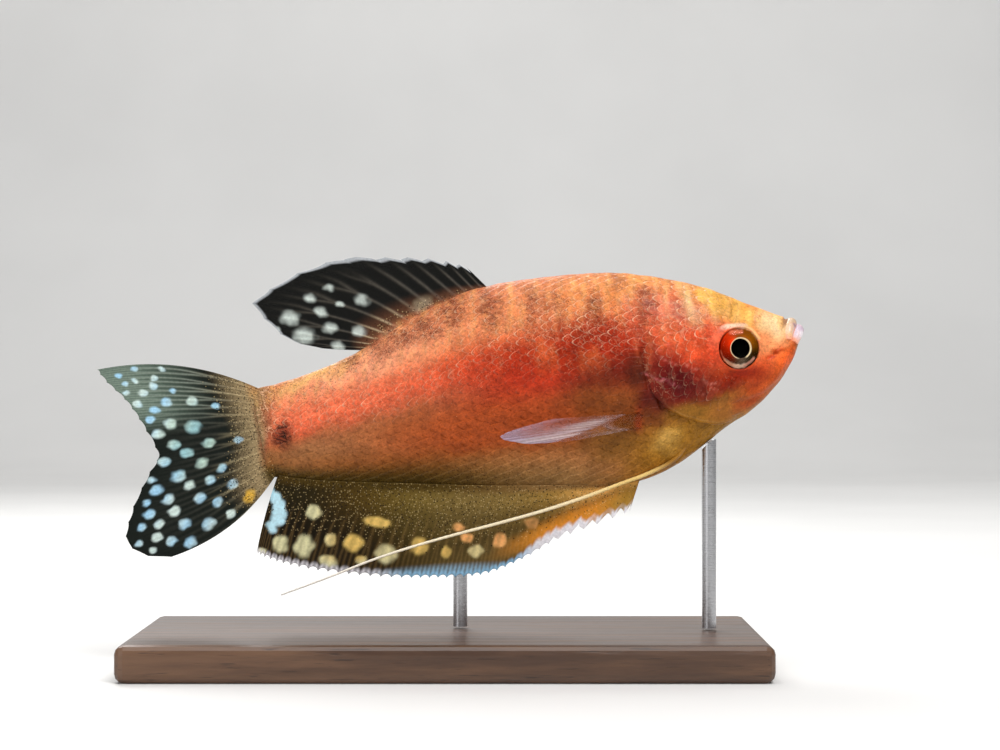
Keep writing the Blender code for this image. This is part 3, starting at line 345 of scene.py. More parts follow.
LIP_STROKES = [
    ((250, 226, 200), 6.0, 0.6, [(785.5, 324), (785.5, 331)]),
    ((252, 176, 142), 7.0, 0.9, [(785, 337.5), (792, 341)]),
    ((190, 170, 140), 4.0, 0.6, [(787, 319.6), (795, 320.6)]),
    ((214, 192, 178), 3.5, 0.5, [(790.5, 325), (790, 331)]),
    # Painted shade in the crease behind the upper lip.
    ((150, 112, 84), 1.6, 0.7, [(787, 318.6), (784, 322), (783.4, 328)]),
    ((190, 178, 202), 6.0, 0.65, [(797.5, 326.5), (801.5, 329)]),
    ((246, 240, 246), 4.6, 0.8, [(802, 333), (801.5, 337)]),
    # A painted shade line along the lower lip's rear edge.
    ((150, 116, 140), 1.8, 0.7, [(793.6, 323), (796.4, 329), (796.6, 334)]),
    ((232, 222, 236), 4.0, 0.6, [(795.5, 329), (795.5, 334.5)]),
    ((252, 168, 128), 6.5, 0.9, [(792, 341), (798, 343)]),
    ((236, 186, 172), 4.0, 0.6, [(800, 339), (799, 342)]),
]

# Pale spots of the fins: pixel centre, width and height, and the pixel that the fin's rays spread from
DORSAL_HUB, CAUDAL_HUB = (440, 350), (300, 430)
DORSAL_SPOTS = [
    (330, 288, 11, 5), (310, 298, 11, 7), (362, 300, 12, 10), (340, 304, 6, 5), (321, 312, 11, 9),
    (290, 318, 16, 13), (330, 328, 11, 11), (359, 331, 13, 9), (304, 336, 18, 15), (338, 346, 15, 7),
    (276, 330, 9, 5),
]
CAUDAL_SPOTS = [
    (133, 369, 8, 4), (117, 376, 8, 4), (134, 381, 8, 5), (160, 369, 7, 5), (153, 378, 9, 5),
    (124, 384, 8, 4), (125, 393, 8, 4), (142, 393, 12, 5), (152, 386, 10, 7), (172, 391, 8, 5),
    (137, 404, 12, 6), (154, 410, 9, 7), (166, 402, 12, 8), (192, 401, 9, 11), (216, 406, 8, 6),
    (150, 420, 10, 7), (170, 424, 11, 12), (193, 427, 14, 14), (158, 434, 13, 8), (174, 445, 13, 9),
    (209, 443, 9, 12), (187, 453, 11, 10), (164, 462, 11, 10), (202, 463, 10, 12), (179, 476, 12, 13),
    (222, 468, 10, 8), (238, 440, 8, 8), (152, 480, 8, 6), (157, 490, 13, 9), (190, 485, 9, 11),
    (233, 484, 11, 9), (169, 499, 10, 11), (200, 498, 11, 10), (147, 503, 9, 6), (150, 514, 11, 9),
    (175, 511, 10, 12), (218, 502, 11, 9), (185, 524, 12, 10), (160, 524, 10, 9), (231, 514, 8, 9),
    (209, 524, 11, 13), (143, 527, 9, 7), (158, 537, 10, 9), (172, 541, 10, 9), (191, 542, 12, 11),
    (140, 543, 7, 6), (154, 550, 8, 5), (210, 480, 10, 9),
]
ANAL_SPOTS = [
    (280, 544, 16, 16), (304, 546, 18, 22), (263, 551, 9, 6), (331, 540, 10, 12), (314, 512, 14, 14),
    (353, 543, 18, 17), (378, 522, 26, 10), (328, 561, 18, 11), (361, 560, 10, 8), (386, 554, 19, 19),
    (419, 546, 16, 17), (446, 552, 11, 12), (458, 527, 12, 8), (467, 538, 12, 9), (476, 551, 12, 13),
    (500, 540, 13, 14),
    (532, 523, 12, 11),
]
ANAL_SPOT_TILT = 10
# The anal fin's colour by the photograph's column
ANAL_LEVELS = [
    (300, (32, 25, 6)), (350, (62, 46, 12)), (420, (96, 78, 34)), (480, (106, 86, 44)), (540, (126, 98, 46)),
    (600, (196, 148, 80)),
]
ANAL_CRESCENT = [
    (272, 493, 9, 12), (276, 499, 11, 14), (279, 506, 12, 14), (280, 513, 13, 14), (277, 520, 13, 13),
    (272, 527, 12, 12),
]


# The studio, in metres: the floor and its bend, and each lamp's name, place, size and power
FLOOR_WIDTH, FLOOR_NEAR, BEND, BEND_RADIUS, BACKDROP_TOP = 4.4, -1.8, 0.85, 0.4, 2.4
LAMPS = [
    ("key", (0.22, -0.42, 0.52), 0.32, 3.0), ("fill", (-0.5, -0.45, 0.22), 0.5, 0.9),
    ("rim", (-0.15, 0.38, 0.42), 0.3, 1.6), ("top", (0.0, -0.02, 0.7), 0.45, 1.6),
    ("backdrop_light", (0.0, 0.5, 0.9), 0.7, 4.5),
]


# Curves and small maths

def linear(colour):
    """Linear light from a colour given in 0 to 255 as a screen shows it."""
    share = np.asarray(colour, float) / 255
    return np.where(share <= 0.04045, share / 12.92, ((share + 0.055) / 1.055) ** 2.4)


def through(points, x):
    """The values at x of a smooth curve through (x, value) points, level in slope at a local peak."""
    xs, ys = np.array(points, float).T
    slopes = np.diff(ys) / np.diff(xs)
    tangents = np.zeros(len(xs))
    before, after = slopes[:-1], slopes[1:]
    same = before * after > 0
    tangents[1:-1][same] = 2 * before[same] * after[same] / (before + after)[same]
    x = np.clip(x, xs[0], xs[-1])
    i = np.clip(np.searchsorted(xs, x, side="right") - 1, 0, len(xs) - 2)
    width = xs[i + 1] - xs[i]
    t = (x - xs[i]) / width
    start = (1 + 2 * t) * (1 - t) ** 2 * ys[i] + t * (1 - t) ** 2 * width * tangents[i]
    return start + t * t * (3 - 2 * t) * ys[i + 1] + t * t * (t - 1) * width * tangents[i + 1]


def ramp(x, low, high):
    """0 below low, 1 above high, and smooth between them; low may be the larger."""
    t = np.clip((x - low) / (high - low), 0.0, 1.0)
    return t * t * (3 - 2 * t)


def mix(a, b, share):
    return a + (b - a) * np.asarray(share)[..., None]


def over(tint, colour, share):
    """The tint with a colour given in 0 to 255 laid over it."""
    return mix(tint, linear(colour), share)


def filled(colour, like):
    """A tint of one colour, in the shape of another array."""
    return np.broadcast_to(linear(colour), like.shape + (3,))


def graded(levels, x):
    """The colour at x along (x, colour) levels."""
    return np.stack([through([(at, colour[c]) for at, colour in levels], x) for c in range(3)], -1)


def column(keys, index):
    return [(key[0], key[index]) for key in keys]


def path_through(points, count):
    """count points evenly along a smooth curve through the given points."""
    points = np.array(points, float)
    reach = np.concatenate([[0.0], np.cumsum(np.linalg.norm(np.diff(points, axis=0), axis=1))])
    places = np.linspace(0.0, reach[-1], count)
    return np.stack([through(list(zip(reach, points[:, axis])), places) for axis in range(3)], -1)


def wobble(x, y, scale, seed):
    """Smooth noise of about -1 to 1 from a few waves, the same each time for a seed."""
    draw = np.random.default_rng(seed)
    total = np.zeros(np.broadcast(x, y).shape)
    for octave in range(5):
        turn, shift = draw.uniform(0, 2 * math.pi, 2)
        wave = 2 * math.pi / scale * draw.uniform(0.6, 1.7)
        total = total + np.sin((x * math.cos(turn) + y * math.sin(turn)) * wave + shift)
    return total / 2.2


def to_world(points):
    """Metres in the CAD frame from millimetres in the fish's frame."""
    x, y, z = np.moveaxis(np.asarray(points, float), -1, 0)
    up, along = math.sin(PITCH), math.cos(PITCH)
    return (np.stack([x * along - z * up, y, x * up + z * along], -1) + LIP) * MM


def to_photo(station, height, out=0.0):
    """The pixel of the photograph where a point shows, at a distance out from the fish's middle plane."""
    up, along = math.sin(PITCH), math.cos(PITCH)
    x = LIP_PIXEL[0] + (-station * along - height * up) * PIXELS_PER_MM
    y = LIP_PIXEL[1] - (-station * up + height * along) * PIXELS_PER_MM
    nearer = CAMERA_DISTANCE / (CAMERA_DISTANCE - out)
    middle_x, middle_y = FRAME_WIDTH / 2, FRAME_HEIGHT / 2
    return middle_x + (x - middle_x) * nearer, middle_y + (y - middle_y) * nearer


def spot_mask(x, y, spot, tilt=0.0, soft=0.35):
    """1 inside an ellipse given by its pixel centre, width and height, falling to 0 round it."""
    cx, cy, wide, high = spot
    turn = math.radians(tilt)
    along = (x - cx) * math.cos(turn) + (y - cy) * math.sin(turn)
    across = (y - cy) * math.cos(turn) - (x - cx) * math.sin(turn)
    distance = np.hypot(along * 2 / wide, across * 2 / high)
    return 1 - ramp(distance, 1 - soft, 1 + soft)


def any_spot(x, y, listed, tilt, soft):
    """A mask of several spots with one tilt."""
    mask = np.zeros(np.shape(x))
    for spot in listed:
        mask = np.maximum(mask, spot_mask(x, y, spot, tilt, soft))
    return mask


def summed(start, x, y, listed):
    """A start value plus the strength of each listed place where its mask lies."""
    total = start
    for strength, spot, tilt, soft in listed:
        total = total + strength * spot_mask(x, y, spot, tilt, soft)
    return total


def painted(tint, x, y, strokes, among=1.0):
    """The tint with strokes painted over it: colour, width, strength and pixel points along each."""
    rough = 0.25 * wobble(x, y, 5.0, 23)
    for colour, width, strength, points in strokes:
        nearest = np.full(np.shape(x), 1e9)
        for (x0, y0), (x1, y1) in zip(points, points[1:]):
            reach = (x1 - x0) ** 2 + (y1 - y0) ** 2
            along = np.clip(((x - x0) * (x1 - x0) + (y - y0) * (y1 - y0)) / reach, 0, 1)
            nearest = np.minimum(nearest, np.hypot(x - x0 - along * (x1 - x0), y - y0 - along * (y1 - y0)))
        share = strength * ramp(nearest + rough, width * 0.85, width * 0.15) * among
        tint = over(tint, colour, share)
    return tint


# The body's surface

def body_point(station, angle):
    """A point of the body. The angle is 0 at the back, pi at the belly, and below 0 on the right side."""
    top, bottom = through(BACK, station), through(BELLY, station)
    level = bottom + (top - bottom) * through(WIDEST_LEVEL, station)
    rise, side = np.cos(angle), np.sin(angle)
    height = level + rise * np.where(rise >= 0, top - level, level - bottom)
    taper = np.where(rise >= 0, through(BACK_TAPER, station), through(BELLY_TAPER, station))
    wide = through(HALF_WIDTH, station) * np.abs(side) ** taper
    return np.stack([-station + 0 * rise, np.sign(side) * wide, height], -1)


def angle_at(station, height, side):
    """The angle at which the body has a height."""
    top, bottom = through(BACK, station), through(BELLY, station)
    level = bottom + (top - bottom) * through(WIDEST_LEVEL, station)
    rise = np.where(height >= level, (height - level) / (top - level), (height - level) / (level - bottom))
    return side * np.arccos(np.clip(rise, -1.0, 1.0))


def lifted(station, angle, lift):
    """A point off the body's surface by a distance along its normal."""
    station, angle = np.broadcast_arrays(np.asarray(station, float), np.asarray(angle, float))
    step = 1e-3
    along = body_point(station + step, angle) - body_point(station - step, angle)
    around = body_point(station, angle + step) - body_point(station, angle - step)
    normal = np.cross(around, along)
    normal /= np.maximum(np.linalg.norm(normal, axis=-1, keepdims=True), 1e-12)
    return body_point(station, angle) + normal * np.broadcast_to(lift, station.shape)[..., None]


def side_of(station, height):
    """Half the body's width at a station and height."""
    return np.abs(body_point(station, angle_at(station, height, 1.0))[..., 1])


def gill_polar():
    """The gill opening as (bearing, distance) from its hub, by rising bearing."""
    polar = [
        (math.atan2(h - GILL_HUB[1], s - GILL_HUB[0]), math.hypot(h - GILL_HUB[1], s - GILL_HUB[0]))
        for s, h in GILL_OPENING
    ]
    return sorted(polar)


def behind_gills(station, height):
    """How far a point lies behind the gill opening; below 0 on the head."""
    bearing = np.arctan2(height - GILL_HUB[1], station - GILL_HUB[0])
    return np.hypot(height - GILL_HUB[1], station - GILL_HUB[0]) - through(gill_polar(), bearing)


def gill_bearing(station, height):
    """1 along the gill opening, falling to 0 above and below it."""
    bearing = np.degrees(np.arctan2(height - GILL_HUB[1], station - GILL_HUB[0]))
    return ramp(bearing, 12, -40) * ramp(bearing, -90, -70)


def relief(station, height):
    """How far the skin stands off the plain body, in millimetres."""
    behind = behind_gills(station, height)
    open_here = gill_bearing(station, height)
    flare = HEAD_FLARE * np.clip(1 + behind / 10, 0, 1) * ramp(behind, -0.3, -0.9)
    step = -SHOULDER_STEP * np.clip(1 - behind / SHOULDER_REACH, 0, 1) * ramp(behind, -0.9, -0.3)
    # The bone before the gill cover is a low ridge that bends round the cheek.
    ridge_radius = np.hypot((station - 12.2) * 0.86, height + 1.6)
    below = ramp(height, 2.5, -2.0)
    ridge = 0.16 * np.exp(-((ridge_radius - 7.2) / 0.5) ** 2) * below
    groove = -0.12 * np.exp(-((ridge_radius - 8.1) / 0.45) ** 2) * below
    # Folds behind the mouth's corner, and the bulge over the jaw's hinge.
    x, y = to_photo(station, height, side_of(station, height))
    upper_fold = spot_mask(x, y, (779, 348, 12, 3), -40, 0.9)
    lower_fold = spot_mask(x, y, (772, 356, 12, 3), -30, 0.9)
    folds = -0.24 * upper_fold - 0.2 * lower_fold
    crease = -0.3 * spot_mask(x, y, (784.5, 322, 3, 13), 12, 0.9)
    jaw = 0.18 * spot_mask(x, y, (762, 372, 30, 16), -45, 0.9)
    waves = 0.03 * wobble(station, height, 5.0, 3)
    return (flare + step) * open_here + ridge + groove + folds + crease + jaw + waves


# Colour of the flesh

def flesh_ground(station, height, share, x, y, keel, bars, tail_spot):
    """The flesh's colour in 0 to 255: levels from the belly up, partly painted shade, then patches, then
    markings.
    """
    tint = graded(FLESH_LEVELS, share)
    for _, colour, centre, radii, tilt, strength in PATCHES:
        mask = spot_mask(x, y, (*centre, 2 * radii[0], 2 * radii[1]), tilt, 0.75)
        tint = mix(tint, np.array(colour, float), mask * strength)
    olive = mix(np.array((150, 116, 70.0)), np.array((70, 56, 18.0)), ramp(station, 44.0, 68.0))
    tint = mix(tint, olive, 0.85 * keel)
    tint = mix(tint, np.array((112, 56, 38.0)), 0.66 * bars)
    streaks = ramp(wobble(station + 0.3 * height, 0.2 * height, 2.6, 17), -0.1, 0.9) * ramp(share, 0.68, 0.85)
    tint = mix(tint, np.array((248, 188, 112.0)), 0.5 * streaks * (1 - bars))
    front_flank = spot_mask(x, y, FRONT_FLANK, -4, 0.6)
    upright = wobble(station + 0.25 * height, 0.3 * height, 3.4, 43)
    tint = mix(tint, np.array((244, 140, 74.0)), 0.42 * front_flank * ramp(upright, 0.15, 1.0))
    tint = mix(tint, np.array((132, 34, 12.0)), 0.4 * front_flank * ramp(upright, -0.15, -1.0))
    uneven = 0.3 + 0.68 * ramp(wobble(x, y, 1.6, 29), -0.25, 0.2)
    return mix(tint, np.array((44, 14, 8.0)), tail_spot * uneven)


def flesh_tint(station, height):
    """Linear colour of the flesh, its density of dark dots, and how strongly pale scale edges show."""
    top, bottom = through(BACK, station), through(BELLY, station)
    share = np.clip((height - bottom) / (top - bottom), 0, 1)
    true_x, true_y = to_photo(station, height, side_of(station, height))
    x = true_x + 2.5 * wobble(station, height, 6.0, 11)
    y = true_y + 2.5 * wobble(station, height, 6.0, 12)
    keel = ramp(share, 0.2, 0.03) * ramp(station, 30.0, 44.0)
    bars = any_spot(x, y, BARS, BAR_TILT, 0.6)
    bars = bars * (0.3 + 0.7 * ramp(wobble(x, y, 5.5, 19), -0.8, 0.6))
    tail_spot = spot_mask(x, y, TAIL_SPOT, 0, 0.45)
    tint = flesh_ground(station, height, share, x, y, keel, bars, tail_spot)

    behind = behind_gills(station, height)
    trunk = ramp(behind, -1.0, 1.0)
    dots = 0.03 + 0.08 * ramp(share, 0.5, 0.25) + 0.75 * keel * ramp(station, 40.0, 60.0) + 0.8 * bars
    dots = summed(dots, x, y, TRUNK_DOTS) + 1.2 * tail_spot
    dots = dots * trunk + summed(0.04, x, y, HEAD_DOTS) * (1 - trunk)
    lines = summed(0.06, x, y, TRUNK_LINES) * trunk * ramp(share, 0.3, 0.6)
    head_lines = 0.16 * ramp(station, 8.0, 14.0) * ramp(height, -9.0, -4.0)
    lines = lines + head_lines * (1 - trunk) + 0.6 * spot_mask(x, y, NAPE, 0, 0.5)

    patchy = 0.2 + 0.45 * ramp(wobble(true_x, true_y, 7.0, 37), -0.6, 0.5)
    on_head = (1 - ramp(behind, 0.0, 6.0)) * patchy
    tint = painted(linear(np.clip(tint, 0, 255)), true_x, true_y, STROKES, on_head)
    return tint, np.clip(dots, 0, 0.95), np.clip(lines, 0, 0.9)


# Making pieces

def add_mask(mesh, key, values):
    """Stores a number for each point of a mesh."""
    values = np.broadcast_to(values, len(mesh.vertices)) if np.ndim(values) == 0 else np.ravel(values)
    mesh.attributes.new(key, "FLOAT", "POINT").data.foreach_set("value", values.astype(np.float32))


def piece(name, points, faces, slot, material, tint=None, dots=None, clear=None, nodes=(),
          uvs=None, lines=None, smooth=None):
    """A mesh piece from points in the fish's frame, with its colour and masks as attributes."""
    points = np.asarray(points, float).reshape(-1, 3)
    data = bpy.data.meshes.new(name)
    data.from_pydata(to_world(points).tolist(), [], [[int(k) for k in face] for face in faces])
    data.validate()
    data.shade_smooth()
    if smooth is not None:
        data.polygons.foreach_set("use_smooth", smooth)
    place = data.attributes.new("fish", "FLOAT_VECTOR", "POINT")
    place.data.foreach_set("vector", points.astype(np.float32).ravel())
    if tint is not None:
        colours = np.ones((len(points), 4), np.float32)
        colours[:, :3] = np.asarray(tint).reshape(-1, 3)
        data.attributes.new("tint", "FLOAT_COLOR", "POINT").data.foreach_set("color", colours.ravel())
    for key, values in (("dots", dots), ("clear", clear), ("lines", lines)):
        if values is not None:
            add_mask(data, key, values)
    if uvs is not None:
        layer = data.uv_layers.new(name="OFBake")
        corners = np.empty(len(data.loops), np.int32)
        data.loops.foreach_get("vertex_index", corners)
        layer.data.foreach_set("uv", np.asarray(uvs, np.float32).reshape(-1, 2)[corners].ravel())
    data.materials.append(material)
    made = bpy.data.objects.new(name, data)
    bpy.context.scene.collection.objects.link(made)
    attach(made, "root")
    if nodes:
        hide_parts(*nodes)
    return made


def grid_faces(rows, columns, wrap=False, first=0, flip=False):
    """Quads of a grid of points stored row by row; wrap joins the last column to the first."""
    r = np.arange(rows - 1)[:, None]
    c = np.arange(columns if wrap else columns - 1)[None, :]
    n = (c + 1) % columns
    quads = np.stack([r * columns + c, r * columns + n, (r + 1) * columns + n, (r + 1) * columns + c], -1)
    quads = quads.reshape(-1, 4) + first
    return quads[:, ::-1] if flip else quads


def sheet_faces(rows, columns):
    """Quads of a closed sheet: a near grid, a far grid after it, and the rim between them."""
    count = rows * columns
    near = grid_faces(rows, columns)
    far = grid_faces(rows, columns, first=count, flip=True)
    edge = [c for c in range(columns)] + [r * columns + columns - 1 for r in range(1, rows)]
    edge += [(rows - 1) * columns + c for c in range(columns - 2, -1, -1)]
    edge += [r * columns for r in range(rows - 2, 0, -1)]
    edge = np.array(edge)
    following = np.roll(edge, -1)
    rim = np.stack([following, edge, edge + count, following + count], -1)
    return np.concatenate([near, far, rim])


def tube(path, radii, sides):
    """Points and quads of a round tube along a path, with a cap point at each end."""
    path = np.asarray(path, float)
    tangent = np.gradient(path, axis=0)
    tangent /= np.linalg.norm(tangent, axis=1, keepdims=True)
    across = np.cross(tangent, (0.13, 0.0, 1.0))
    across /= np.linalg.norm(across, axis=1, keepdims=True)
    upward = np.cross(across, tangent)
    turn = np.linspace(0, 2 * math.pi, sides, endpoint=False)[None, :, None]
    radii = np.asarray(radii, float)[:, None, None]
    rings = path[:, None] + radii * (np.cos(turn) * across[:, None] + np.sin(turn) * upward[:, None])
    faces = [tuple(quad) for quad in grid_faces(len(path), sides, wrap=True, flip=True)]
    faces.append(tuple(range(sides)))
    faces.append(tuple(range(len(path) * sides - 1, (len(path) - 1) * sides - 1, -1)))
    return rings.reshape(-1, 3), faces


# Materials

class Tree:
    """A small helper that adds and links shader nodes."""

    def __init__(self, name):
        self.material = bpy.data.materials.new(name)
        self.material.use_nodes = True
        self.nodes = self.material.node_tree.nodes
        self.links = self.material.node_tree.links
        self.shader = self.nodes["Principled BSDF"]

    def add(self, kind, inputs=None, **settings):
        node = self.nodes.new(kind)
        for key, value in settings.items():
            setattr(node, key, value)
        for key, value in (inputs or {}).items():
            self.set(node.inputs[key], value)
        return node

    def set(self, socket, value):
        if isinstance(value, bpy.types.NodeSocket):
            self.links.new(value, socket)
        else:
            socket.default_value = value

    def value(self, name, kind="Fac"):
        return self.add("ShaderNodeAttribute", attribute_name=name).outputs[kind]

    def maths(self, operation, *values):
        node = self.add("ShaderNodeMath", operation=operation)
        for socket, value in zip(node.inputs, values):
            self.set(socket, value)
        return node.outputs[0]

    def times(self, a, b):
        return self.maths("MULTIPLY", a, b)

    def mapped(self, place, scale):
        return self.add("ShaderNodeMapping", {"Vector": place, "Scale": scale}).outputs[0]

    def shaded(self, colour, shade):
        """The colour with its three channels multiplied by one value."""
        grey = self.add("ShaderNodeCombineColor", {0: shade, 1: shade, 2: shade}).outputs[0]
        return self.blend(colour, grey, 1.0, "MULTIPLY")

    def blend(self, a, b, share, mode="MIX"):
        node = self.add("ShaderNodeMix", data_type="RGBA", blend_type=mode)
        self.set(node.inputs[0], share)
        self.set(node.inputs[6], a)
        self.set(node.inputs[7], b)
        return node.outputs[2]

    def span(self, value, low, high, to_low, to_high):
        node = self.add("ShaderNodeMapRange", {"Value": value, 1: low, 2: high, 3: to_low, 4: to_high})
        node.interpolation_type = "SMOOTHSTEP"
        return node.outputs[0]

    def noise(self, place, scale, detail=3.0, rough=0.55):
        inputs = {"Vector": place, "Scale": scale, "Detail": detail, "Roughness": rough}
        return self.add("ShaderNodeTexNoise", inputs).outputs["Fac"]

    def bump(self, height, strength, distance=0.0001):
        inputs = {"Height": height, "Strength": strength, "Distance": distance}
        return self.add("ShaderNodeBump", inputs).outputs["Normal"]

    def finish(self, **values):
        for key, value in values.items():
            self.set(self.shader.inputs[key.replace("_", " ")], value)
        return self.material


def dot_layer(tree, place, density, scale, size):
    """A mask of dark dots, one in each Voronoi cell that a random draw picks."""
    cells = tree.add("ShaderNodeTexVoronoi", {"Vector": place, "Scale": scale, "Randomness": 1.0})
    pick = tree.add("ShaderNodeSeparateColor", {"Color": cells.outputs["Color"]}).outputs[0]
    chosen = tree.maths("LESS_THAN", pick, density)
    inside = tree.span(cells.outputs["Distance"], size * 0.5, size, 1.0, 0.0)
    return tree.times(chosen, inside)


def pale_net(tree, place):
    """A broken net of pale lines, where the mask of lines is high."""
    bend = tree.add("ShaderNodeTexNoise", {"Vector": place, "Scale": 0.9, "Detail": 2.0}).outputs["Color"]
    inputs = {0: bend, 1: (1.1, 1.1, 1.1), 2: place}
    bent = tree.add("ShaderNodeVectorMath", inputs, operation="MULTIPLY_ADD").outputs[0]
    inputs = {"Vector": tree.mapped(bent, (1.0, 0.3, 0.8)), "Scale": 0.95}
    net = tree.add("ShaderNodeTexVoronoi", inputs, feature="DISTANCE_TO_EDGE")
    line = tree.span(net.outputs["Distance"], 0.02, 0.085, 1.0, 0.0)
    broken = tree.span(tree.noise(place, 0.9, 2.0), 0.35, 0.65, 0.0, 1.0)
    return tree.times(tree.times(line, broken), tree.value("lines"))


def worn_rims(tree, place):
    """The rims of the scales, worn away in places."""
    worn = tree.span(tree.noise(place, 1.5, 3.0), 0.3, 0.48, 0.0, 1.0)
    edge = tree.span(tree.value("from_rim"), 0.13, 0.31, 1.0, 0.0)
    return tree.times(tree.times(edge, worn), tree.value("rim"))


def pepper(tree, place):
    """Small and large dark dots in loose patches, as dense as the mask of dots."""
    dots = tree.value("dots")
    patchy = tree.times(dots, tree.span(tree.noise(place, 0.9, 3.0), 0.3, 0.66, 0.35, 1.25))
    small = dot_layer(tree, place, patchy, 4.6, 0.42)
    large = dot_layer(tree, place, tree.times(patchy, tree.span(dots, 0.5, 0.9, 0.45, 0.9)), 2.7, 0.34)
    return tree.times(tree.maths("MAXIMUM", small, large), tree.span(dots, 0.1, 0.6, 0.6, 0.95))


def flesh_material(name, bump_strength, subsurface=0.0):
    """Wet skin: the painted colour with mottling, fine dark dots and a net of pale lines."""
    tree = Tree(name)
    place = tree.value("fish", "Vector")
    broad = tree.span(tree.noise(place, 0.5), 0.3, 0.7, 0.84, 1.14)
    fine = tree.span(tree.noise(place, 2.6, 4.0, 0.7), 0.25, 0.75, 0.68, 1.24)
    colour = tree.shaded(tree.value("tint", "Color"), tree.times(broad, fine))
    colour = tree.blend(colour, (0.98, 0.58, 0.34, 1.0), pale_net(tree, place))
    colour = tree.blend(colour, (1.0, 0.6, 0.38, 1.0), tree.times(worn_rims(tree, place), 0.86))
    pale = dot_layer(tree, place, tree.times(tree.value("lines"), 0.9), 4.9, 0.4)
    colour = tree.blend(colour, (0.42, 0.22, 0.11, 1.0), tree.times(pale, 0.7), "SCREEN")
    colour = tree.blend(colour, (0.24, 0.13, 0.11, 1.0), pepper(tree, place), "MULTIPLY")
    gloss = tree.span(tree.noise(place, 1.4), 0.3, 0.7, 0.3, 0.5)
    normal = tree.bump(tree.noise(place, 5.0, 3.0), bump_strength)
    return tree.finish(
        Base_Color=colour, Roughness=gloss, Normal=normal, Coat_Weight=0.06, Coat_Roughness=0.15,
        Specular_IOR_Level=0.09, Subsurface_Weight=subsurface, Subsurface_Scale=0.0005,
    )


def fin_material(name, roughness=0.5, coat=0.0):
    """A fin's membrane, coloured and made see-through by its attributes."""
    tree = Tree(name)
    place = tree.value("fish", "Vector")
    shade = tree.span(tree.noise(place, 2.2, 4.0), 0.25, 0.75, 0.86, 1.12)
    colour = tree.shaded(tree.value("tint", "Color"), shade)
    fine_dots, coarse_dots, flecks = [
        dot_layer(tree, place, tree.times(tree.value("dots"), density), scale, size)
        for density, scale, size in ((0.6, 3.6, 0.4), (0.62, 2.1, 0.36), (0.62, 2.9, 0.42))
    ]
    dark = tree.maths("MAXIMUM", fine_dots, coarse_dots)
    colour = tree.blend(colour, (0.38, 0.28, 0.13, 1.0), tree.times(flecks, 0.7), "SCREEN")
    colour = tree.blend(colour, (0.012, 0.009, 0.006, 1.0), tree.times(dark, 0.85))
    return tree.finish(
        Base_Color=colour, Roughness=roughness, Coat_Weight=coat, Coat_Roughness=0.2, Specular_IOR_Level=0.08,
        Normal=tree.bump(tree.noise(place, 6.0, 2.0), 0.15), Alpha=tree.value("clear"),
    )


def painted_gloss(name, roughness, coat, specular=0.25):
    """A surface that shows its painted colour under a clear gloss."""
    tree = Tree(name)
    fibres = tree.span(tree.noise(tree.value("fish", "Vector"), 7.0, 3.0), 0.3, 0.7, 0.82, 1.15)
    return tree.finish(
        Base_Color=tree.shaded(tree.value("tint", "Color"), fibres), Roughness=roughness, Coat_Weight=coat,
        Coat_Roughness=0.1, Specular_IOR_Level=specular,
    )


def cornea_material():
    """Clear gloss that lets the light straight through."""
    tree = Tree("cornea")
    clear = tree.add("ShaderNodeBsdfTransparent")
    shine = tree.add("ShaderNodeBsdfGlossy", {"Roughness": 0.03})
    edge = tree.add("ShaderNodeFresnel", {"IOR": 1.14})
    both = tree.add("ShaderNodeMixShader", {0: edge.outputs[0], 1: clear.outputs[0], 2: shine.outputs[0]})
    output = tree.nodes["Material Output"]
    tree.links.new(both.outputs[0], output.inputs["Surface"])
    return tree.material


def wood_material():
    """Oiled dark wood with its grain along the base."""
    tree = Tree("oiled_walnut")
    place = tree.add("ShaderNodeTexCoord").outputs["Object"]
    along = tree.mapped(place, (28.0, 300.0, 300.0))
    grain = tree.noise(along, 1.0, 6.0, 0.62)
    broad = tree.mapped(place, (9.0, 85.0, 85.0))
    figure = tree.add("ShaderNodeTexWave", {"Vector": broad, "Scale": 0.8, "Distortion": 5.0, "Detail": 3.0},
                      bands_direction="Y").outputs["Fac"]
    colour = tree.blend((0.060, 0.026, 0.012, 1), (0.155, 0.075, 0.036, 1), tree.span(grain, 0.3, 0.72, 0, 1))
    colour = tree.blend(colour, (0.035, 0.015, 0.008, 1), tree.span(figure, 0.45, 1.0, 0.0, 0.55))
    pores = tree.mapped(place, (160.0, 2600.0, 2600.0))
    pore = tree.noise(pores, 1.0, 2.0)
    colour = tree.blend(colour, (0.02, 0.009, 0.005, 1), tree.span(pore, 0.62, 0.72, 0, 0.7))
    return tree.finish(
        Base_Color=colour, Roughness=tree.span(grain, 0.2, 0.8, 0.34, 0.5),
        Normal=tree.bump(tree.span(pore, 0.55, 0.72, 1, 0), 0.25), Coat_Weight=0.2, Coat_Roughness=0.25,
    )


def steel_material():
    """Steel rod, brushed round."""
    tree = Tree("brushed_rod")
    place = tree.add("ShaderNodeTexCoord").outputs["Object"]
    rings = tree.mapped(place, (300.0, 300.0, 9000.0))
    brushed = tree.noise(rings, 1.0, 3.0)
    colour = tree.blend((0.42, 0.42, 0.43, 1), (0.62, 0.62, 0.64, 1), brushed)
    return tree.finish(
        Base_Color=colour, Metallic=1.0, Roughness=tree.span(brushed, 0.2, 0.8, 0.22, 0.38),
        Normal=tree.bump(brushed, 0.08),
    )


def plain_material(name, colour, roughness):
    tree = Tree(name)
    place = tree.add("ShaderNodeTexCoord").outputs["Object"]
    shade = tree.span(tree.noise(place, 6.0), 0.3, 0.7, 0.97, 1.03)
    return tree.finish(Base_Color=tree.shaded((*colour, 1), shade), Roughness=roughness)


# The flesh

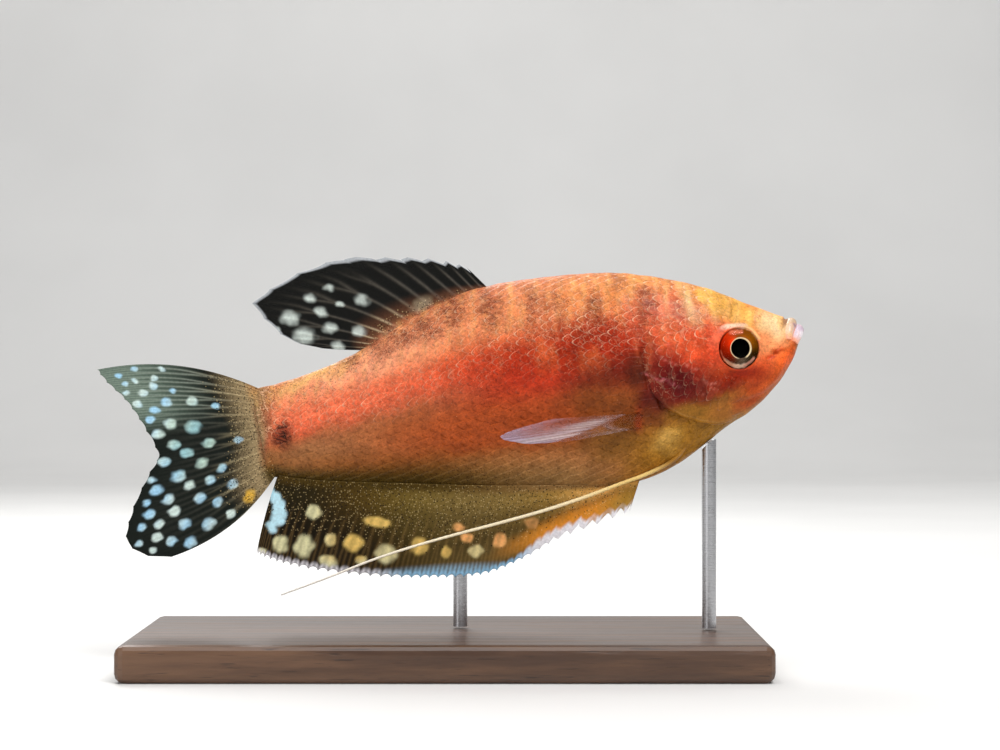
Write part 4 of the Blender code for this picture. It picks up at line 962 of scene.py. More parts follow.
def skin(material):
    """One seamless skin from the snout to the tail fin's root."""
    head = BODY_START + (HEAD_END - BODY_START) * np.linspace(0, 1, HEAD_ROWS) ** 1.25
    trunk = np.linspace(HEAD_END, BODY_END + 0.6, TRUNK_ROWS)[1:]
    station = np.concatenate([head, trunk])[:, None]
    angle = np.linspace(-math.pi, math.pi, SKIN_COLUMNS, endpoint=False)[None, :]
    height = body_point(station, angle)[..., 2]
    eye = np.hypot(station - EYE_STATION, height - EYE_HEIGHT)
    lift = relief(station, height) - 3.0 * ramp(eye, EYE_RADIUS + 0.35, EYE_RADIUS - 0.3)
    points = lifted(station, angle, lift * ramp(station, 0.5, 2.0))
    rows, columns = points.shape[:2]
    faces = [tuple(quad) for quad in grid_faces(rows, columns, wrap=True)]
    faces.append(tuple(range(columns - 1, -1, -1)))
    faces.append(tuple(range((rows - 1) * columns, rows * columns)))
    tint, dots, lines = flesh_tint(station + 0 * height, height)
    nodes = ("head", "torso", "tail_stalk")
    return piece("skin", points, faces, "skin", material, tint, dots, nodes=nodes, lines=lines)


def gill_flap(side, material):
    """The gill cover's soft rear edge: a lip that rises out of the cheek and stands over the shoulder."""
    profile = path_through(GILL_FLAP_PROFILE, GILL_FLAP_ROWS)
    bearing = np.linspace(math.radians(42), math.radians(-86), 150)[None, :]
    radius = through(gill_polar(), bearing) + profile[:, 0:1]
    radius = radius + 0.12 * np.sin(bearing * 9) + 0.05 * np.sin(bearing * 31)
    station = GILL_HUB[0] + radius * np.cos(bearing)
    height = GILL_HUB[1] + radius * np.sin(bearing)
    height = np.maximum(height, through(BELLY, station) + 0.15)
    ends = ramp(bearing, math.radians(4), math.radians(-40))
    ends = ends * ramp(bearing, math.radians(-86), math.radians(-72))
    lift = (profile[:, 1:2] + 0.25) * ends - 0.25
    points = lifted(station, angle_at(station, height, side), lift)
    tint, dots, lines = flesh_tint(station, height)
    outside = (np.arange(GILL_FLAP_ROWS) < GILL_FLAP_OUTER_ROWS)[:, None]
    pale = np.exp(-((profile[:, 0:1] + 0.1) / 0.3) ** 2) * outside * ends * ramp(bearing, -0.3, -0.9)
    tint = over(tint, (232, 196, 128), 0.75 * pale)
    # Painted shade: the flap's underside is darkened where it tucks in under its rim.
    tint = tint * (1 - 0.7 * ramp(profile[:, 1:2], 0.2, 0.0) * (1 - outside))[..., None]
    name = SIDE_NAMES[side]
    faces = grid_faces(*station.shape, flip=side < 0)
    nodes = ("gill_cover_" + name,)
    return piece("gill_flap_" + name, points, faces, "skin", material, tint, dots, nodes=nodes, lines=lines)


def scale_places(side, on_head):
    """(station, angle, size, tilt, random) of each scale on one side, in staggered columns."""
    draw = np.random.default_rng(7 if on_head else 5)
    first, last = HEAD_SCALES if on_head else TRUNK_SCALES
    pitch = HEAD_PITCH if on_head else COLUMN_PITCH
    places = []
    for k in range(int((last - first) / pitch)):
        station = first + k * pitch
        angles = np.linspace(0.02, math.pi - 0.02, 240)
        arc = body_point(np.full(240, station), angles)
        reach = np.concatenate([[0.0], np.cumsum(np.linalg.norm(np.diff(arc, axis=0), axis=1))])
        rows = max(6, round(reach[-1] / (pitch * 0.97)))
        for row in range(rows):
            at = (row + (0.5 if k % 2 else 0.0) + 0.25) / rows
            if at > 0.985:
                continue
            angle = np.interp(at * reach[-1], reach, angles)
            slip, grow, chance = draw.uniform(-1, 1, 3)
            height = float(body_point(np.array(station), np.array(angle))[2])
            behind = float(behind_gills(station, height))
            eye = math.hypot(station - EYE_STATION, height - EYE_HEIGHT)
            covered = behind > -4.0 and float(gill_bearing(station, height)) > 0.3
            if on_head and (covered or behind > -0.5 or eye < EYE_RADIUS + 2.0 or height < -8.5):
                continue
            if not on_head and behind < 0.6:
                continue
            size = reach[-1] / rows * (1 + 0.05 * grow)
            tilt = math.radians(32) * float(ramp(height, 6.0, -1.0)) if on_head else 0.0
            wander = 0.22 if on_head else 0.07
            places.append((station + wander * slip, side * angle, size, tilt + wander * grow, chance))
    return np.array(places)


def scale_rims(x, y, lines, random, on_head):
    """How strongly the pale rim of each scale shows."""
    if on_head:
        rim = 0.24 + spot_mask(x, y, (682, 312, 96, 84), 8, 0.5)
        rim, spread = rim.clip(0, 1) * ramp(x, 730, 712), 0.35
    else:
        rim, spread = 1.25 * lines, 0.48
    return np.clip(rim, 0, 1) * (1 - spread + spread * random)


def scale_mesh(side, on_head):
    """Points, quads, shading, colours and masks of scales, whose rear edges lie over the next ones."""
    places = scale_places(side, on_head)
    cells, pitch = (HEAD_SCALE_CELLS, HEAD_PITCH) if on_head else (SCALE_CELLS, COLUMN_PITCH)
    n = cells + 1
    u, v = np.meshgrid(np.linspace(0, 1, n), np.linspace(-1, 1, n), indexing="ij")
    outline = np.sqrt(np.clip(1 - np.clip((u - 0.45) / 0.6, 0, 1) ** 2.4, 0.03, 1))
    station0, angle0, size, tilt, random = [places[:, k][:, None, None] for k in range(5)]
    length = pitch * 2.1
    along = (u - 0.35) * length * (size / pitch * 0.25 + 0.75) + 0.12 * length * (1 - v ** 2) * u - 0.3
    down = v * outline * size * 0.62
    station = station0 + along * np.cos(tilt) - down * np.sin(tilt)
    step = 1e-3
    ahead, astern = body_point(station0, angle0 + step), body_point(station0, angle0 - step)
    girth = np.linalg.norm(ahead - astern, axis=-1) / (2 * step)
    turn = (along * np.sin(tilt) + down * np.cos(tilt)) / np.maximum(girth, 0.5)
    angle = side * np.clip(np.abs(angle0) + turn, 0.0, math.pi)
    height = body_point(station, angle)[..., 2]
    tint, dots, lines = flesh_tint(station, height)
    raised = 0.16 + 0.5 * ramp(station0, 50.0, 28.0) * ramp(np.cos(angle0), -0.1, 0.45)
    raised = np.maximum(raised, 0.7) if on_head else raised
    skin_lift = relief(station, height)
    # Each scale stands proud of the one above it and the one behind, so that no two faces coincide.
    lift = 0.014 + skin_lift + raised * (SCALE_LIFT * u * (1 - 0.2 * v ** 2) + SCALE_TILT * v)
    under = lift - SCALE_THICKNESS * raised
    points = np.stack([lifted(station, angle, lift), lifted(station, angle, under)], 1)
    root_tint, _, _ = flesh_tint(station0 + 0 * station, body_point(station0, angle0)[..., 2] + 0 * height)
    tint = mix(tint, root_tint, 0.15) * (1 + 0.06 * random[..., None])
    # Painted shade and light on each scale: darker at its front, where it comes out from under the one
    # before, and lighter towards its rear edge.
    tint = tint * (1 + 0.34 * raised * (ramp(u, 0.5, 1.0) - 0.6))[..., None]
    from_rim = np.minimum((1 - u) * length, (1 - np.abs(v)) * size * 0.62 + 0.17 * (1 - u) * length)
    rim = scale_rims(*to_photo(station, height, side_of(station, height)), lines, random, on_head)
    block = sheet_faces(n, n)
    block = block[:, ::-1] if side < 0 else block
    faces = (block[None] + (np.arange(len(places)) * 2 * n * n)[:, None, None]).reshape(-1, 4)
    # Each scale's patch lies at its root's place on the skin's unwrap: share of length by share of girth.
    patch_u = station0 / 93.0 + (u - 0.5) * BAKE_PATCH
    patch_v = 0.5 + angle0 / (2 * math.pi) * 0.98 + v * BAKE_PATCH / 2
    uvs = np.stack([patch_u + 0 * v, patch_v + 0 * u], -1)
    masks = (tint, dots, 0.35 * lines, uvs, from_rim + 0 * u, rim + 0 * u)
    both_sides = [np.stack([value, value], 1) for value in masks]
    return points.reshape(-1, 3), faces, rims_flat(len(places), cells), both_sides


def rims_flat(count, cells):
    """Which faces of count scales are shaded smooth: both sides of each plate, and not its rim."""
    return np.tile(np.arange(2 * cells * cells + 4 * cells) < 2 * cells * cells, count)


def scales(side, material):
    """The scales of one side: small even ones on the trunk, and larger uneven ones on the cheek and crown."""
    trunk, face = scale_mesh(side, False), scale_mesh(side, True)
    points = np.concatenate([trunk[0], face[0]])
    faces = np.concatenate([trunk[1], face[1] + len(trunk[0])])
    smooth = np.concatenate([trunk[2], face[2]])
    tint, dots, lines, uvs, from_rim, rim = [
        np.concatenate([a.reshape(len(trunk[0]), -1), b.reshape(len(face[0]), -1)])
        for a, b in zip(trunk[3], face[3])
    ]
    name = "scales_" + SIDE_NAMES[side]
    made = piece(name, points, faces, "skin", material, tint, dots, uvs=uvs, lines=lines, smooth=smooth)
    add_mask(made.data, "from_rim", from_rim)
    add_mask(made.data, "rim", rim)


def orbit(side, material):
    """The soft rim of skin round the eye."""
    profile = path_through(ORBIT_PROFILE, 26)
    turn = np.linspace(0, 2 * math.pi, 96, endpoint=False)[None, :]
    station = EYE_STATION + profile[:, 0:1] * np.cos(turn)
    height = EYE_HEIGHT + profile[:, 0:1] * np.sin(turn)
    lift = profile[:, 1:2] * (1 + 0.12 * np.sin(turn * 3 + 1))
    lift = lift + relief(station, height) * ramp(profile[:, 0:1], 3.6, 5.0)
    points = lifted(station, angle_at(station, height, side), lift)
    tint, dots, _ = flesh_tint(station, height)
    tint = painted(tint, *to_photo(station, height, np.abs(points[..., 1])), EYE_STROKES)
    name = "orbit_" + SIDE_NAMES[side]
    rows, columns = station.shape
    faces = grid_faces(rows, columns, wrap=True, flip=side > 0)
    return piece(name, points, faces, "skin", material, tint, 0.3 * dots, lines=0.0)


def eye_points(side, radius, out, turn):
    """Points round the eye's axis, which looks a little forward."""
    lean = np.array([math.sin(EYE_TURN), side * math.cos(EYE_TURN), 0.0])
    along = np.array([math.cos(EYE_TURN), -side * math.sin(EYE_TURN), 0.0])
    centre = np.array([-EYE_STATION, side * EYE_DEPTH, EYE_HEIGHT])
    flat = np.cos(turn)[..., None] * along + np.sin(turn)[..., None] * np.array([0.0, 0.0, 1.0])
    out = np.broadcast_to(out, np.broadcast(radius, turn).shape)
    return centre + radius[..., None] * flat + out[..., None] * lean


def iris_tint(r, bearing):
    """The eyeball's colour by distance from its axis and bearing, with a pale ring round the pupil."""
    tint = linear(graded(IRIS_COLOURS, bearing) + 0 * r[..., None])
    tint = tint * (0.85 + 0.4 * ramp(r, 2.7, 1.9))[..., None]
    inner = PUPIL_RADIUS + 0.16 + 0.08 * np.cos(np.radians(bearing - 10))
    ring = ramp(r, inner + 0.06, inner) * ramp(np.abs(bearing + 90), 12, 34)
    return over(tint, (255, 232, 184), 0.95 * ring)


def eyeball(side, turn, material):
    """An eyeball with a sunk pupil and a dished iris."""
    profile = path_through(EYEBALL_PROFILE, 70)
    r, out = profile[:, 0:1], profile[:, 1:2]
    points = eye_points(side, r + 0 * turn, out + 0 * turn, turn + 0 * r)
    tint = iris_tint(r, np.degrees(np.arctan2(np.sin(turn), np.cos(turn))))
    tint = painted(tint, *to_photo(-points[..., 0], points[..., 2], np.abs(points[..., 1])), EYE_STROKES)
    tint = over(tint, (0, 0, 0), ramp(r, PUPIL_RADIUS + 0.03, PUPIL_RADIUS - 0.03) + 0 * turn)
    faces = grid_faces(*points.shape[:2], wrap=True, flip=side > 0)
    name = SIDE_NAMES[side]
    piece("eyeball_" + name, points, faces, "eye", material, tint, nodes=("eye_" + name,))


def cornea(side, turn, material):
    """The clear dome over the eyeball."""
    r = np.linspace(CORNEA_RADIUS, 0.02, CORNEA_ROWS)[:, None]
    dome = CORNEA_LEVEL + (EYE_BULGE - CORNEA_LEVEL) * np.sqrt(1 - (r / CORNEA_RADIUS) ** 2)
    points = eye_points(side, r + 0 * turn, dome + 0 * turn, turn + 0 * r)
    faces = grid_faces(CORNEA_ROWS, EYE_SIDES, wrap=True, flip=side > 0)
    piece("cornea_" + SIDE_NAMES[side], points, faces, "eye", material)


def round_mouth(path, count):
    """count points along a path from the mouth's right corner, mirrored to its left one."""
    right = [(-s, -y, h) for s, h, y in path]
    left = [(-s, y, h) for s, h, y in reversed(path[:-1])]
    return path_through(right + left, count)


def lips(material):
    """Two fleshy lip rolls round the mouth."""
    for name, path, radius, shade in (
        ("upper_lip", UPPER_LIP_PATH, UPPER_LIP_RADIUS, (228, 186, 152)),
        ("lower_lip", LOWER_LIP_PATH, LOWER_LIP_RADIUS, (234, 200, 200)),
    ):
        share = np.linspace(0, 1, 60)
        radii = radius * (0.58 + 0.42 * np.sin(math.pi * share) ** 0.5)
        radii = radii * (1 + 0.03 * np.sin(share * 90) * np.sin(math.pi * share))
        points, faces = tube(round_mouth(path, 60), radii, 28)
        flesh, _, _ = flesh_tint(-points[:, 0] + 1.0, points[:, 2])
        tint = over(flesh, shade, 0.1 + 0.85 * ramp(points[:, 0], -2.7, -1.9))
        tint = painted(tint, *to_photo(-points[:, 0], points[:, 2], np.abs(points[:, 1])), LIP_STROKES)
        piece(name, points, faces, "skin", material, tint, 0.0)


def mouth_gape(material):
    """The dark line of the mouth between the lips: a dark tube that stands in for the shade in the mouth's
    opening.
    """
    points, faces = tube(round_mouth(GAPE_PATH, 50), np.full(50, GAPE_RADIUS), 10)
    piece("mouth_gape", points, faces, "skin", material, np.tile(linear((70, 22, 18)), (len(points), 1)), 0.0)


def nostrils(material):
    """Two small rimmed pits each side of the snout."""
    share, lift = np.array(NOSTRIL_PROFILE).T
    turn = np.linspace(0, 2 * math.pi, 24, endpoint=False)[None, :]
    for side, name in SIDE_NAMES.items():
        for k, (at, up, radius) in enumerate(NOSTRILS):
            station = at + share[:, None] * radius * np.cos(turn)
            height = up + share[:, None] * radius * np.sin(turn)
            points = lifted(station, angle_at(station, height, side), lift[:, None] + relief(station, height))
            tint, _, _ = flesh_tint(station, height)
            # Painted shade: the inside of each pit is darkened.
            tint = over(tint, (60, 22, 16), ramp(share, 0.95, 0.75)[:, None] + 0 * turn)
            faces = grid_faces(len(share), 24, wrap=True, flip=side > 0)
            piece(f"nostril_{name}_{k + 1}", points, faces, "skin", material, tint, 0.0)


# Fins

def ridge(phase, v, branch_at):
    """The height of the ray nearest a point, from 0 to 1; a ray forks at each share in branch_at."""
    offsets = np.zeros((1,) + np.broadcast(phase, v).shape)
    spread = 0.24
    for fork in branch_at:
        part = spread * ramp(v, fork, fork + 0.3) + 0 * phase
        offsets = np.concatenate([offsets - part, offsets + part])
        spread *= 0.5
    wide = 0.13 if branch_at else 0.17
    return np.exp(-((phase - offsets) / wide) ** 2).max(0)


def fin_sheet(vane, ray_at, normal, sway):
    """A fin's middle sheet, with each point's share of length, ray number and height of the nearest ray."""
    shares = np.linspace(0, 1, (vane.rays - 1) * vane.per_ray + 1)[None, :]
    v = np.linspace(0, 1, vane.rows)[:, None]
    at = shares * (vane.rays - 1)
    phase = at - np.round(at)
    spiny = ramp(at, vane.spines + 0.5, vane.spines - 0.5)
    rib = ridge(phase, v, ()) * spiny + ridge(phase, v, vane.branch_at) * (1 - spiny)
    hollow = np.abs(np.sin(math.pi * phase)) ** 0.7 * (1 - spiny) + 2 * np.abs(phase) * spiny
    root, tip, bow = ray_at(shares)
    notch = vane.notches[0] * spiny * (1.15 - 0.09 * at) * (0.88 + 0.2 * np.sin(2.4 * np.round(at)))
    notch = notch + vane.notches[1] * (1 - spiny)
    reach = v * (1 - hollow * notch / np.linalg.norm(tip - root, axis=-1))
    middle = root + (tip - root) * reach[..., None] + bow * (4 * reach * (1 - reach))[..., None]
    if sway is not None:
        middle = middle + normal * sway(middle)[..., None]
    return middle, v + 0 * shares, at + 0 * v, rib


def fin(name, slot, node, vane, ray_at, tint_at, material, normal, sway=None):
    """A fin: a thin membrane in which each ray stands out, closed all round."""
    middle, v, at, rib = fin_sheet(vane, ray_at, normal, sway)
    thickness = vane.thin + (vane.root_thickness - vane.thin) * np.exp(-v / vane.root_fade) - 0.06 * v
    thickness = thickness + vane.rib * rib * (1 - 0.75 * v)
    half = normal * thickness[..., None] / 2
    tint, dots, clear = tint_at(-middle[..., 0], middle[..., 2], v, at, rib)
    looks = [np.stack([value, value]) for value in (tint, dots + 0 * rib, clear + 0 * rib)]
    points = np.stack([middle - half, middle + half])
    piece(name, points, sheet_faces(*middle.shape[:2]), slot, material, *looks, nodes=(node,))


def sideways(root, tip, bow):
    along = tip - root
    across = np.stack([along[..., 2], 0 * along[..., 0], -along[..., 0]], -1)
    return across / np.linalg.norm(across, axis=-1, keepdims=True) * np.asarray(bow)[..., None]


def midplane_rays(keys, line, sunk, spacing=((0.0, 0.0), (1.0, 1.0))):
    """Root, tip and bow of the rays of a fin in the midplane, rooted on the back or belly line."""
    def ray_at(share):
        share = through(spacing, share)
        root_s, tip_s, tip_h, bow = [through(column(keys, k), share) for k in range(1, 5)]
        zero = np.zeros(share.shape)
        root = np.stack([-root_s, zero, through(line, root_s) + sunk], -1)
        tip = np.stack([-tip_s, zero, tip_h], -1)
        return root, tip, sideways(root, tip, bow)
    return ray_at


def spots(x, y, listed, soft, hub):
    """A mask of spots, each drawn out a little along the ray through it from the fin's hub."""
    mask = np.zeros(np.shape(x))
    for cx, cy, wide, high in listed:
        size = math.sqrt(wide * high)
        tilt = math.degrees(math.atan2(cy - hub[1], cx - hub[0]))
        mask = np.maximum(mask, spot_mask(x, y, (cx, cy, size * 1.12, size * 0.86), tilt, soft))
    return mask


def dorsal_tint(station, height, v, at, rib):
    x, y = to_photo(station, height)
    x = x + 1.2 * wobble(station, height, 2.5, 21)
    tint = filled((20, 20, 18), x)
    tint = over(tint, (104, 98, 88), 0.45 * rib ** 2 * ramp(v, 1.0, 0.4))
    base = ramp(v, 0.3, 0.0)
    tint = over(tint, (124, 78, 52), 0.7 * base)
    cream = rib ** 2 * ramp(v, 0.27, 0.1) * ramp(x, 420, 380)
    tint = over(tint, (204, 180, 142), 0.62 * cream)
    flesh, _, _ = flesh_tint(station, through(BACK, station) - 0.4)
    tint = mix(tint, 0.6 * flesh, ramp(v, 0.09, 0.02))
    tint = over(tint, (170, 156, 128), 0.5 * spot_mask(x, y, (422, 305, 18, 12), -35, 0.8))
    tint = over(tint, (140, 128, 104), 0.5 * spot_mask(x, y, (396, 334, 26, 12), -20, 0.8))
    pale = spots(x, y, DORSAL_SPOTS, 0.6, DORSAL_HUB)
    tint = over(tint, (214, 224, 216), 0.88 * pale * (0.75 + 0.25 * rib))
    spiny = ramp(at, 9, 7)
    edge = ramp(v, 0.965 - 0.06 * spiny, 0.99 - 0.03 * spiny)
    tint = over(tint, (186, 190, 194), 0.85 * edge * (0.5 + 0.5 * ramp(at, 17, 12)))
    return tint, 0.7 * ramp(base, 0.35, 0.8), 1.0 - 0.06 * ramp(v, 0.5, 1.0) * (1 - rib)


def caudal_tint(station, height, v, at, rib):
    x, y = to_photo(station, height)
    x = x + 1.0 * wobble(station, height, 2.2, 31)
    tint = filled((22, 27, 23), x)
    upper = ramp(height, 2.0, 8.0)
    tint = over(tint, (104, 124, 110), upper * ramp(v, 0.3, 0.9) * 0.75)
    tint = over(tint, (128, 126, 112), (0.12 + 0.25 * upper) * rib * ramp(v, 1.05, 0.3))
    uneven = 0.55 + 0.45 * np.sin(2.3 * at + 1.0)
    tint = over(tint, (204, 186, 140), 0.5 * uneven * rib * ramp(v, 0.5, 0.15))
    tint = over(tint, (150, 164, 150), 0.45 * upper * rib ** 2 * ramp(v, 0.2, 0.5))
    base = ramp(v, 0.36, 0.05)
    tint = over(tint, (172, 148, 108), 0.9 * base)
    flesh, _, _ = flesh_tint(np.minimum(station, BODY_END) - 0.4, np.clip(height, -7.6, 7.0))
    tint = mix(tint, flesh, ramp(v, 0.12, 0.03))
    tint = over(tint, (236, 184, 66), 0.85 * spot_mask(x, y, (250, 496, 10, 13), 30, 0.5))
    pale = spots(x, y, CAUDAL_SPOTS, 0.35, CAUDAL_HUB) * (0.82 + 0.18 * rib)
    blue = 0.5 + 0.5 * np.sin(x * 0.11 + y * 0.07)
    spot = over(filled((222, 240, 232), x), (168, 216, 244), blue)
    spot = over(spot, (150, 190, 160), 0.5 * spot_mask(x, y, (195, 440, 60, 70), 0, 0.6))
    tint = mix(tint, spot, 0.92 * pale * (1 - 0.8 * base))
    return tint, 0.97 * ramp(v, 0.4, 0.26), 1.0 - 0.06 * ramp(v, 0.4, 1.0) * (1 - rib)


def anal_spot_colour(x, y):
    """The colour that a spot of the anal fin has at a place: cream behind, then gold, and orange in front."""
    gold = ramp(x, 310, 350) * ramp(y, 566, 556) * (1 - 0.8 * spot_mask(x, y, (382, 555, 36, 26), 0, 0.3))
    gold = gold * (1 - 0.6 * spot_mask(x, y, (476, 551, 20, 20), 0, 0.3))
    orange = np.maximum(ramp(x, 482, 500), ramp(x, 448, 454) * ramp(y, 546, 542))
    return over(over(filled((232, 226, 176), x), (240, 200, 110), gold), (255, 184, 112), orange)


def anal_fringe(tint, x, y, v, rib):
    """The tint with the anal fin's pale edge: white at both ends and blue between."""
    front = ramp(x, 510, 550)
    fringe = ramp(v, 0.93 - 0.17 * front, 0.985 - 0.1 * front)
    white = over(filled((236, 232, 238), x), (140, 190, 226), ramp(x, 380, 410) * ramp(x, 540, 510))
    strength = 0.45 + 0.5 * rib + 0.22 * ramp(x, 360, 420) + 0.5 * front - ramp(x, 575, 600) * (1 - rib)
    tint = mix(tint, white, fringe * strength.clip(0, 0.97))
    blue = spot_mask(x, y, (455, 571, 150, 12), -3, 0.6)
    return over(tint, (150, 196, 226), 0.75 * blue * (0.35 + 0.65 * rib))


def anal_tint(station, height, v, at, rib):
    x, y = to_photo(station, height)
    x = x + 1.2 * wobble(station, height, 2.5, 41)
    rear = ramp(x, 470, 330)
    # Painted light: the zone next to the body is lightened to make up for the body's shadow on it.
    tint = linear(graded(ANAL_LEVELS, x)) * (1 + 0.55 * ramp(v, 0.4, 0.15))[..., None]
    tint = over(tint, (24, 17, 6), np.clip(ramp(v, 0.22, 0.74) * (0.34 + 0.63 * rear), 0, 0.97))
    tint = over(tint, (228, 142, 40), 0.85 * spot_mask(x, y, (574, 520, 130, 20), -24, 0.6))
    tint = over(tint, (156, 120, 44), 0.8 * spot_mask(x, y, (632, 499, 56, 26), -24, 0.7))
    tint = over(tint, (190, 150, 90), 0.14 * rib * ramp(v, 0.2, 0.6))
    anal_spots = any_spot(x, y, ANAL_SPOTS, ANAL_SPOT_TILT, 0.3)
    streaks = 0.86 + 0.14 * np.cos(at * 2 * math.pi)
    faint = 1 - 0.45 * ramp(x, 515, 522)
    tint = mix(tint, anal_spot_colour(x, y), 0.95 * anal_spots * streaks * faint)
    crescent = any_spot(x, y, ANAL_CRESCENT, 0, 0.35)
    tint = over(tint, (198, 238, 250), 0.95 * crescent)
    tint = anal_fringe(tint, x, y, v, rib)
    flesh, _, _ = flesh_tint(station, through(BELLY, station) + 0.35)
    tint = mix(tint, flesh, ramp(v, 0.14, 0.03))
    bare = 1 - np.maximum(anal_spots, crescent)
    dots = (0.72 + 0.22 * rear) * ramp(v, 0.8, 0.4) * ramp(x, 660, 600) * bare
    return tint, dots, 1.0 - 0.05 * ramp(v, 0.5, 1.0) * (1 - rib)


def pectoral_tint(station, height, v, at, rib):
    x, y = to_photo(station, height, PECTORAL_OUT)
    lowest = np.interp(x, *PECTORAL_LOW_EDGE)
    shown = ramp(y - lowest, 2.0, -1.5) * ramp(x, 624, 604)
    tint = over(filled((206, 176, 178), v), (236, 222, 236), rib)
    tint = over(tint, (206, 196, 232), 0.6 * ramp(v, 0.6, 1.0))
    tint = over(tint, (176, 110, 70), 0.7 * ramp(v, 0.22, 0.0))
    lower = ramp(height, -7.6, -9.0)
    low_rays = ramp(at, 1.5, 5.0)
    clear = 0.03 + 0.3 * rib * low_rays * ramp(v, 0.1, 0.45) + 0.35 * ramp(at, 8.0, 8.7) * ramp(v, 0.2, 0.5)
    clear = clear + 0.3 * ramp(v, 0.72, 1.0) * (0.3 + 0.7 * low_rays) + 0.12 * lower
    # Pale streaks along the lower edge and across the middle: painted highlights.
    painted_highlight = spot_mask(x, y, (548, 438, 70, 5), -8, 0.8) + spot_mask(x, y, (585, 425, 44, 6), -14, 0.8)
    tint = over(tint, (244, 226, 222), (0.6 * painted_highlight).clip(0, 1))
    clear = (clear + 0.3 * painted_highlight) * (0.12 + 0.88 * shown)
    # Near its root the fin takes the flank's colour and grows opaque, so that it joins the body.
    flesh, _, _ = flesh_tint(station, height)
    joined = 0.25 * ramp(v, 0.34, 0.26) + 0.4 * ramp(v, 0.2, 0.06)
    return mix(tint, flesh, ramp(v, 0.34, 0.22)), 0.0, np.maximum(clear, joined).clip(0, 1)


def caudal_rays(share):
    """Root, tip and bow of the tail fin's rays, rooted in the end of the tail stalk."""
    root_h, tip_s, tip_h, bow = [through(column(CAUDAL_KEYS, k), share) for k in range(1, 5)]
    zero = np.zeros(share.shape)
    root = np.stack([zero - CAUDAL_ROOT + 0.9, zero, root_h], -1)
    tip = np.stack([-tip_s, zero, tip_h], -1)
    return root, tip, sideways(root, tip, bow)


def caudal_sway(point):
    back = np.clip((-point[..., 0] - CAUDAL_ROOT) / 26.0, 0, None)
    up = np.clip(point[..., 2] / 14.0, -1, 1)
    reach = np.where(up > 0, CAUDAL_SWAY_TOP, -CAUDAL_SWAY_BOTTOM)
    return reach * up * back ** 1.5


def pectoral_rays(side):
    def ray_at(share):
        root_s, root_h, tip_s, tip_h, out = [through(column(PECTORAL_KEYS, k), share) for k in range(1, 6)]
        wide = np.abs(body_point(root_s, angle_at(root_s, root_h, 1.0))[..., 1])
        root = np.stack([-root_s, side * (wide - PECTORAL_SUNK), root_h], -1)
        tip = np.stack([-tip_s, side * out, tip_h], -1)
        return root, tip, np.array([0.0, side * PECTORAL_LIFT, 0.0])
    return ray_at


def feeler(name, node, side, path, material):
    """A thread-like pelvic fin with a stout root and faint joints along it."""
    points = []
    for k, (station, height, out) in enumerate(path):
        clear = FEELER_ROOT_RADIUS + GAP if k > 1 else -FEELER_SUNK * (1 - k)
        beside = abs(float(body_point(np.array(station), angle_at(station, height, 1.0))[1])) + clear
        hidden = height > float(through(BELLY, station))
        points.append((-station, side * max(out, beside if hidden else FEELER_LEAST_OUT), height))
    count = 260
    line = path_through(points, count)
    share = np.linspace(0, 1, count)
    radii = FEELER_ROOT_RADIUS - (FEELER_ROOT_RADIUS - FEELER_TIP_RADIUS) * share ** 1.2
    radii = radii * (1 + 0.05 * np.sin(share * 420)) * ramp(share, 1.012, 0.985)
    points, faces = tube(line, radii, 12)
    along = np.repeat(share, 12)
    flesh, _, _ = flesh_tint(-points[:, 0], np.maximum(points[:, 2], through(BELLY, -points[:, 0]) + 0.2))
    tint = mix(flesh * 0.9, linear((246, 210, 130)), ramp(along, 0.05, 0.13))
    tint = over(tint, (255, 240, 204), ramp(along, 0.15, 0.4))
    tint = over(tint, (252, 246, 238), ramp(along, 0.5, 1.0))
    piece(name, points, faces, "feeler", material, tint, nodes=(node,))


# The studio

def link(name, data):
    """A new object that holds the data, put in the scene."""
    made = bpy.data.objects.new(name, data)
    bpy.context.scene.collection.objects.link(made)
    return made


def backdrop():
    """A pale floor that sweeps up into a backdrop."""
    curve = [
        (BEND + BEND_RADIUS * math.sin(t), BEND_RADIUS * (1 - math.cos(t)))
        for t in np.linspace(0, math.pi / 2, 24)
    ]
    profile = [(FLOOR_NEAR, 0.0), *curve, (BEND + BEND_RADIUS, BACKDROP_TOP)]
    verts = [(x, y, z) for x in (-FLOOR_WIDTH / 2, FLOOR_WIDTH / 2) for y, z in profile]
    n = len(profile)
    data = bpy.data.meshes.new("backdrop")
    data.from_pydata(verts, [], [(k, k + n, k + n + 1, k + 1) for k in range(n - 1)])
    data.shade_smooth()
    data.materials.append(plain_material("pale_paper", (0.80, 0.79, 0.77), 0.7))
    link("backdrop", data)


def lights():
    """Soft round lamps, and a dim blue-white room."""
    target, wall = np.array([0.0, 0.0, 0.04]), np.array([0.0, BEND + BEND_RADIUS, 0.25])
    for name, place, size, watts in LAMPS:
        lamp = bpy.data.lights.new(name, "AREA")
        lamp.shape, lamp.size, lamp.energy = "DISK", size, watts
        made = link(name, lamp)
        made.location = place
        aim = (wall if name == "backdrop_light" else target) - np.array(place)
        made.rotation_euler = Vector(aim).to_track_quat("-Z", "Y").to_euler()
    world = bpy.data.worlds.new("soft_room")
    bpy.context.scene.world = world
    world.use_nodes = True
    world.node_tree.nodes["Background"].inputs["Color"].default_value = (0.92, 0.95, 1.0, 1.0)
    world.node_tree.nodes["Background"].inputs["Strength"].default_value = 0.22
    bpy.context.scene.view_settings.view_transform = "Standard"


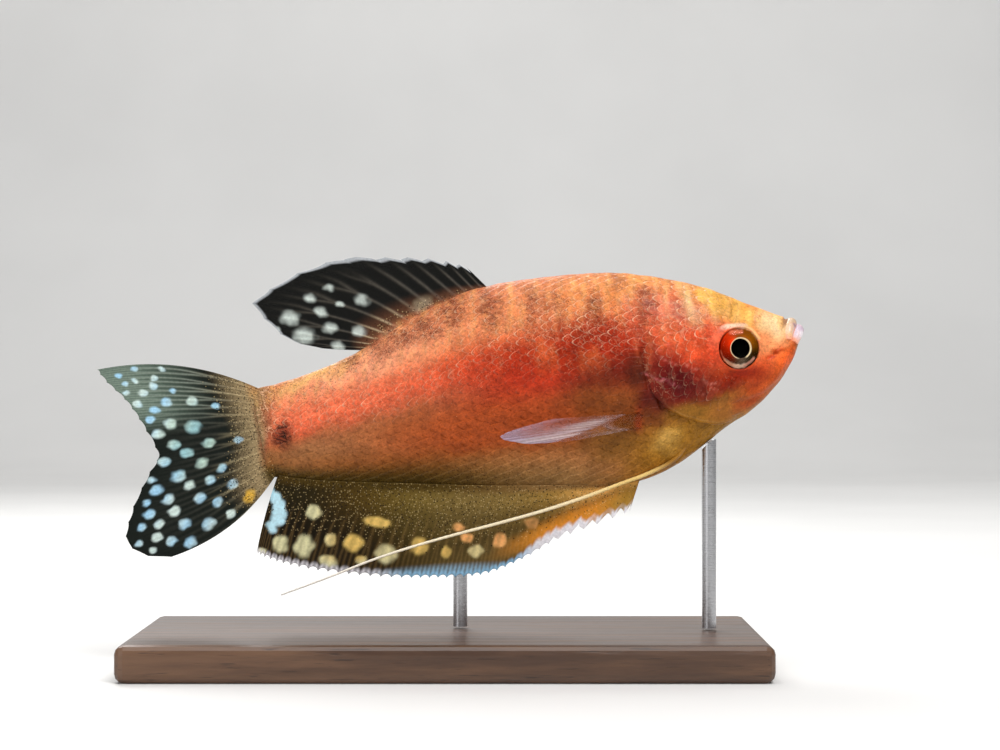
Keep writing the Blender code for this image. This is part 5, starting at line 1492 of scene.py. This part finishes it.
def camera():
    """The photograph's camera, square to the fish's middle plane."""
    data = bpy.data.cameras.new("camera")
    data.lens, data.sensor_width, data.clip_start = LENS, SENSOR, 0.01
    made = link("camera", data)
    across = LIP[0] - (LIP_PIXEL[0] - FRAME_WIDTH / 2) / PIXELS_PER_MM
    height = LIP[2] + (LIP_PIXEL[1] - FRAME_HEIGHT / 2) / PIXELS_PER_MM
    made.location = np.array([across, -CAMERA_DISTANCE, height]) * MM
    made.rotation_euler = (math.pi / 2, 0, 0)
    bpy.context.scene.camera = made


def body_pieces():
    """The skin, and on it the gill flaps, scales, eyes, lips and nostrils."""
    skin_material, scale_material = flesh_material("wet_skin", 0.25, 0.05), flesh_material("wet_scales", 0.12)
    lip_material = painted_gloss("lip_skin", 0.32, 0.4)
    iris_material, clear = painted_gloss("iris", 0.6, 0.0, 0.0), cornea_material()
    turn = np.linspace(0, 2 * math.pi, EYE_SIDES, endpoint=False)[None, :]
    skin(skin_material)
    for side in SIDE_NAMES:
        gill_flap(side, skin_material)
        scales(side, scale_material)
        orbit(side, skin_material)
        eyeball(side, turn, iris_material)
        cornea(side, turn, clear)
    lips(lip_material)
    mouth_gape(lip_material)
    nostrils(lip_material)


def fin_pieces():
    """The fins and the feelers."""
    membrane, glassy = fin_material("dark_membrane"), fin_material("glassy_membrane", 0.3, 0.3)
    thread = painted_gloss("feeler_thread", 0.38, 0.2)
    across = np.array([0.0, 1.0, 0.0])
    fin("dorsal_vane", "dark_fin", "dorsal_fin", DORSAL_VANE, midplane_rays(DORSAL_KEYS, BACK, -0.5),
        dorsal_tint, membrane, across)
    fin("anal_vane", "anal_fin", "anal_fin", ANAL_VANE, midplane_rays(ANAL_KEYS, BELLY, 0.5, ANAL_SPACING),
        anal_tint, membrane, across)
    fin("tail_vane", "dark_fin", "caudal_fin", TAIL_VANE, caudal_rays, caudal_tint, membrane, across,
        caudal_sway)
    for side, name in SIDE_NAMES.items():
        normal = np.array([0.0, PECTORAL_SLOPE[0] * side, PECTORAL_SLOPE[1]])
        fin("pectoral_vane_" + name, "clear_fin", "pectoral_fin_" + name, PECTORAL_VANE, pectoral_rays(side),
            pectoral_tint, glassy, normal / np.linalg.norm(normal))
    feeler("feeler_thread_right", "pelvic_feeler_right", -1, FEELER_RIGHT, thread)
    feeler("feeler_thread_left", "pelvic_feeler_left", 1, FEELER_LEFT, thread)


def main():
    body_pieces()
    fin_pieces()
    for node, material in (
        ("stand_base", wood_material()), ("stand_rod_front", steel_material()),
        ("stand_rod_rear", steel_material()),
    ):
        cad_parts[node].data.materials.clear()
        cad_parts[node].data.materials.append(material)
    backdrop()
    lights()
    camera()


main()
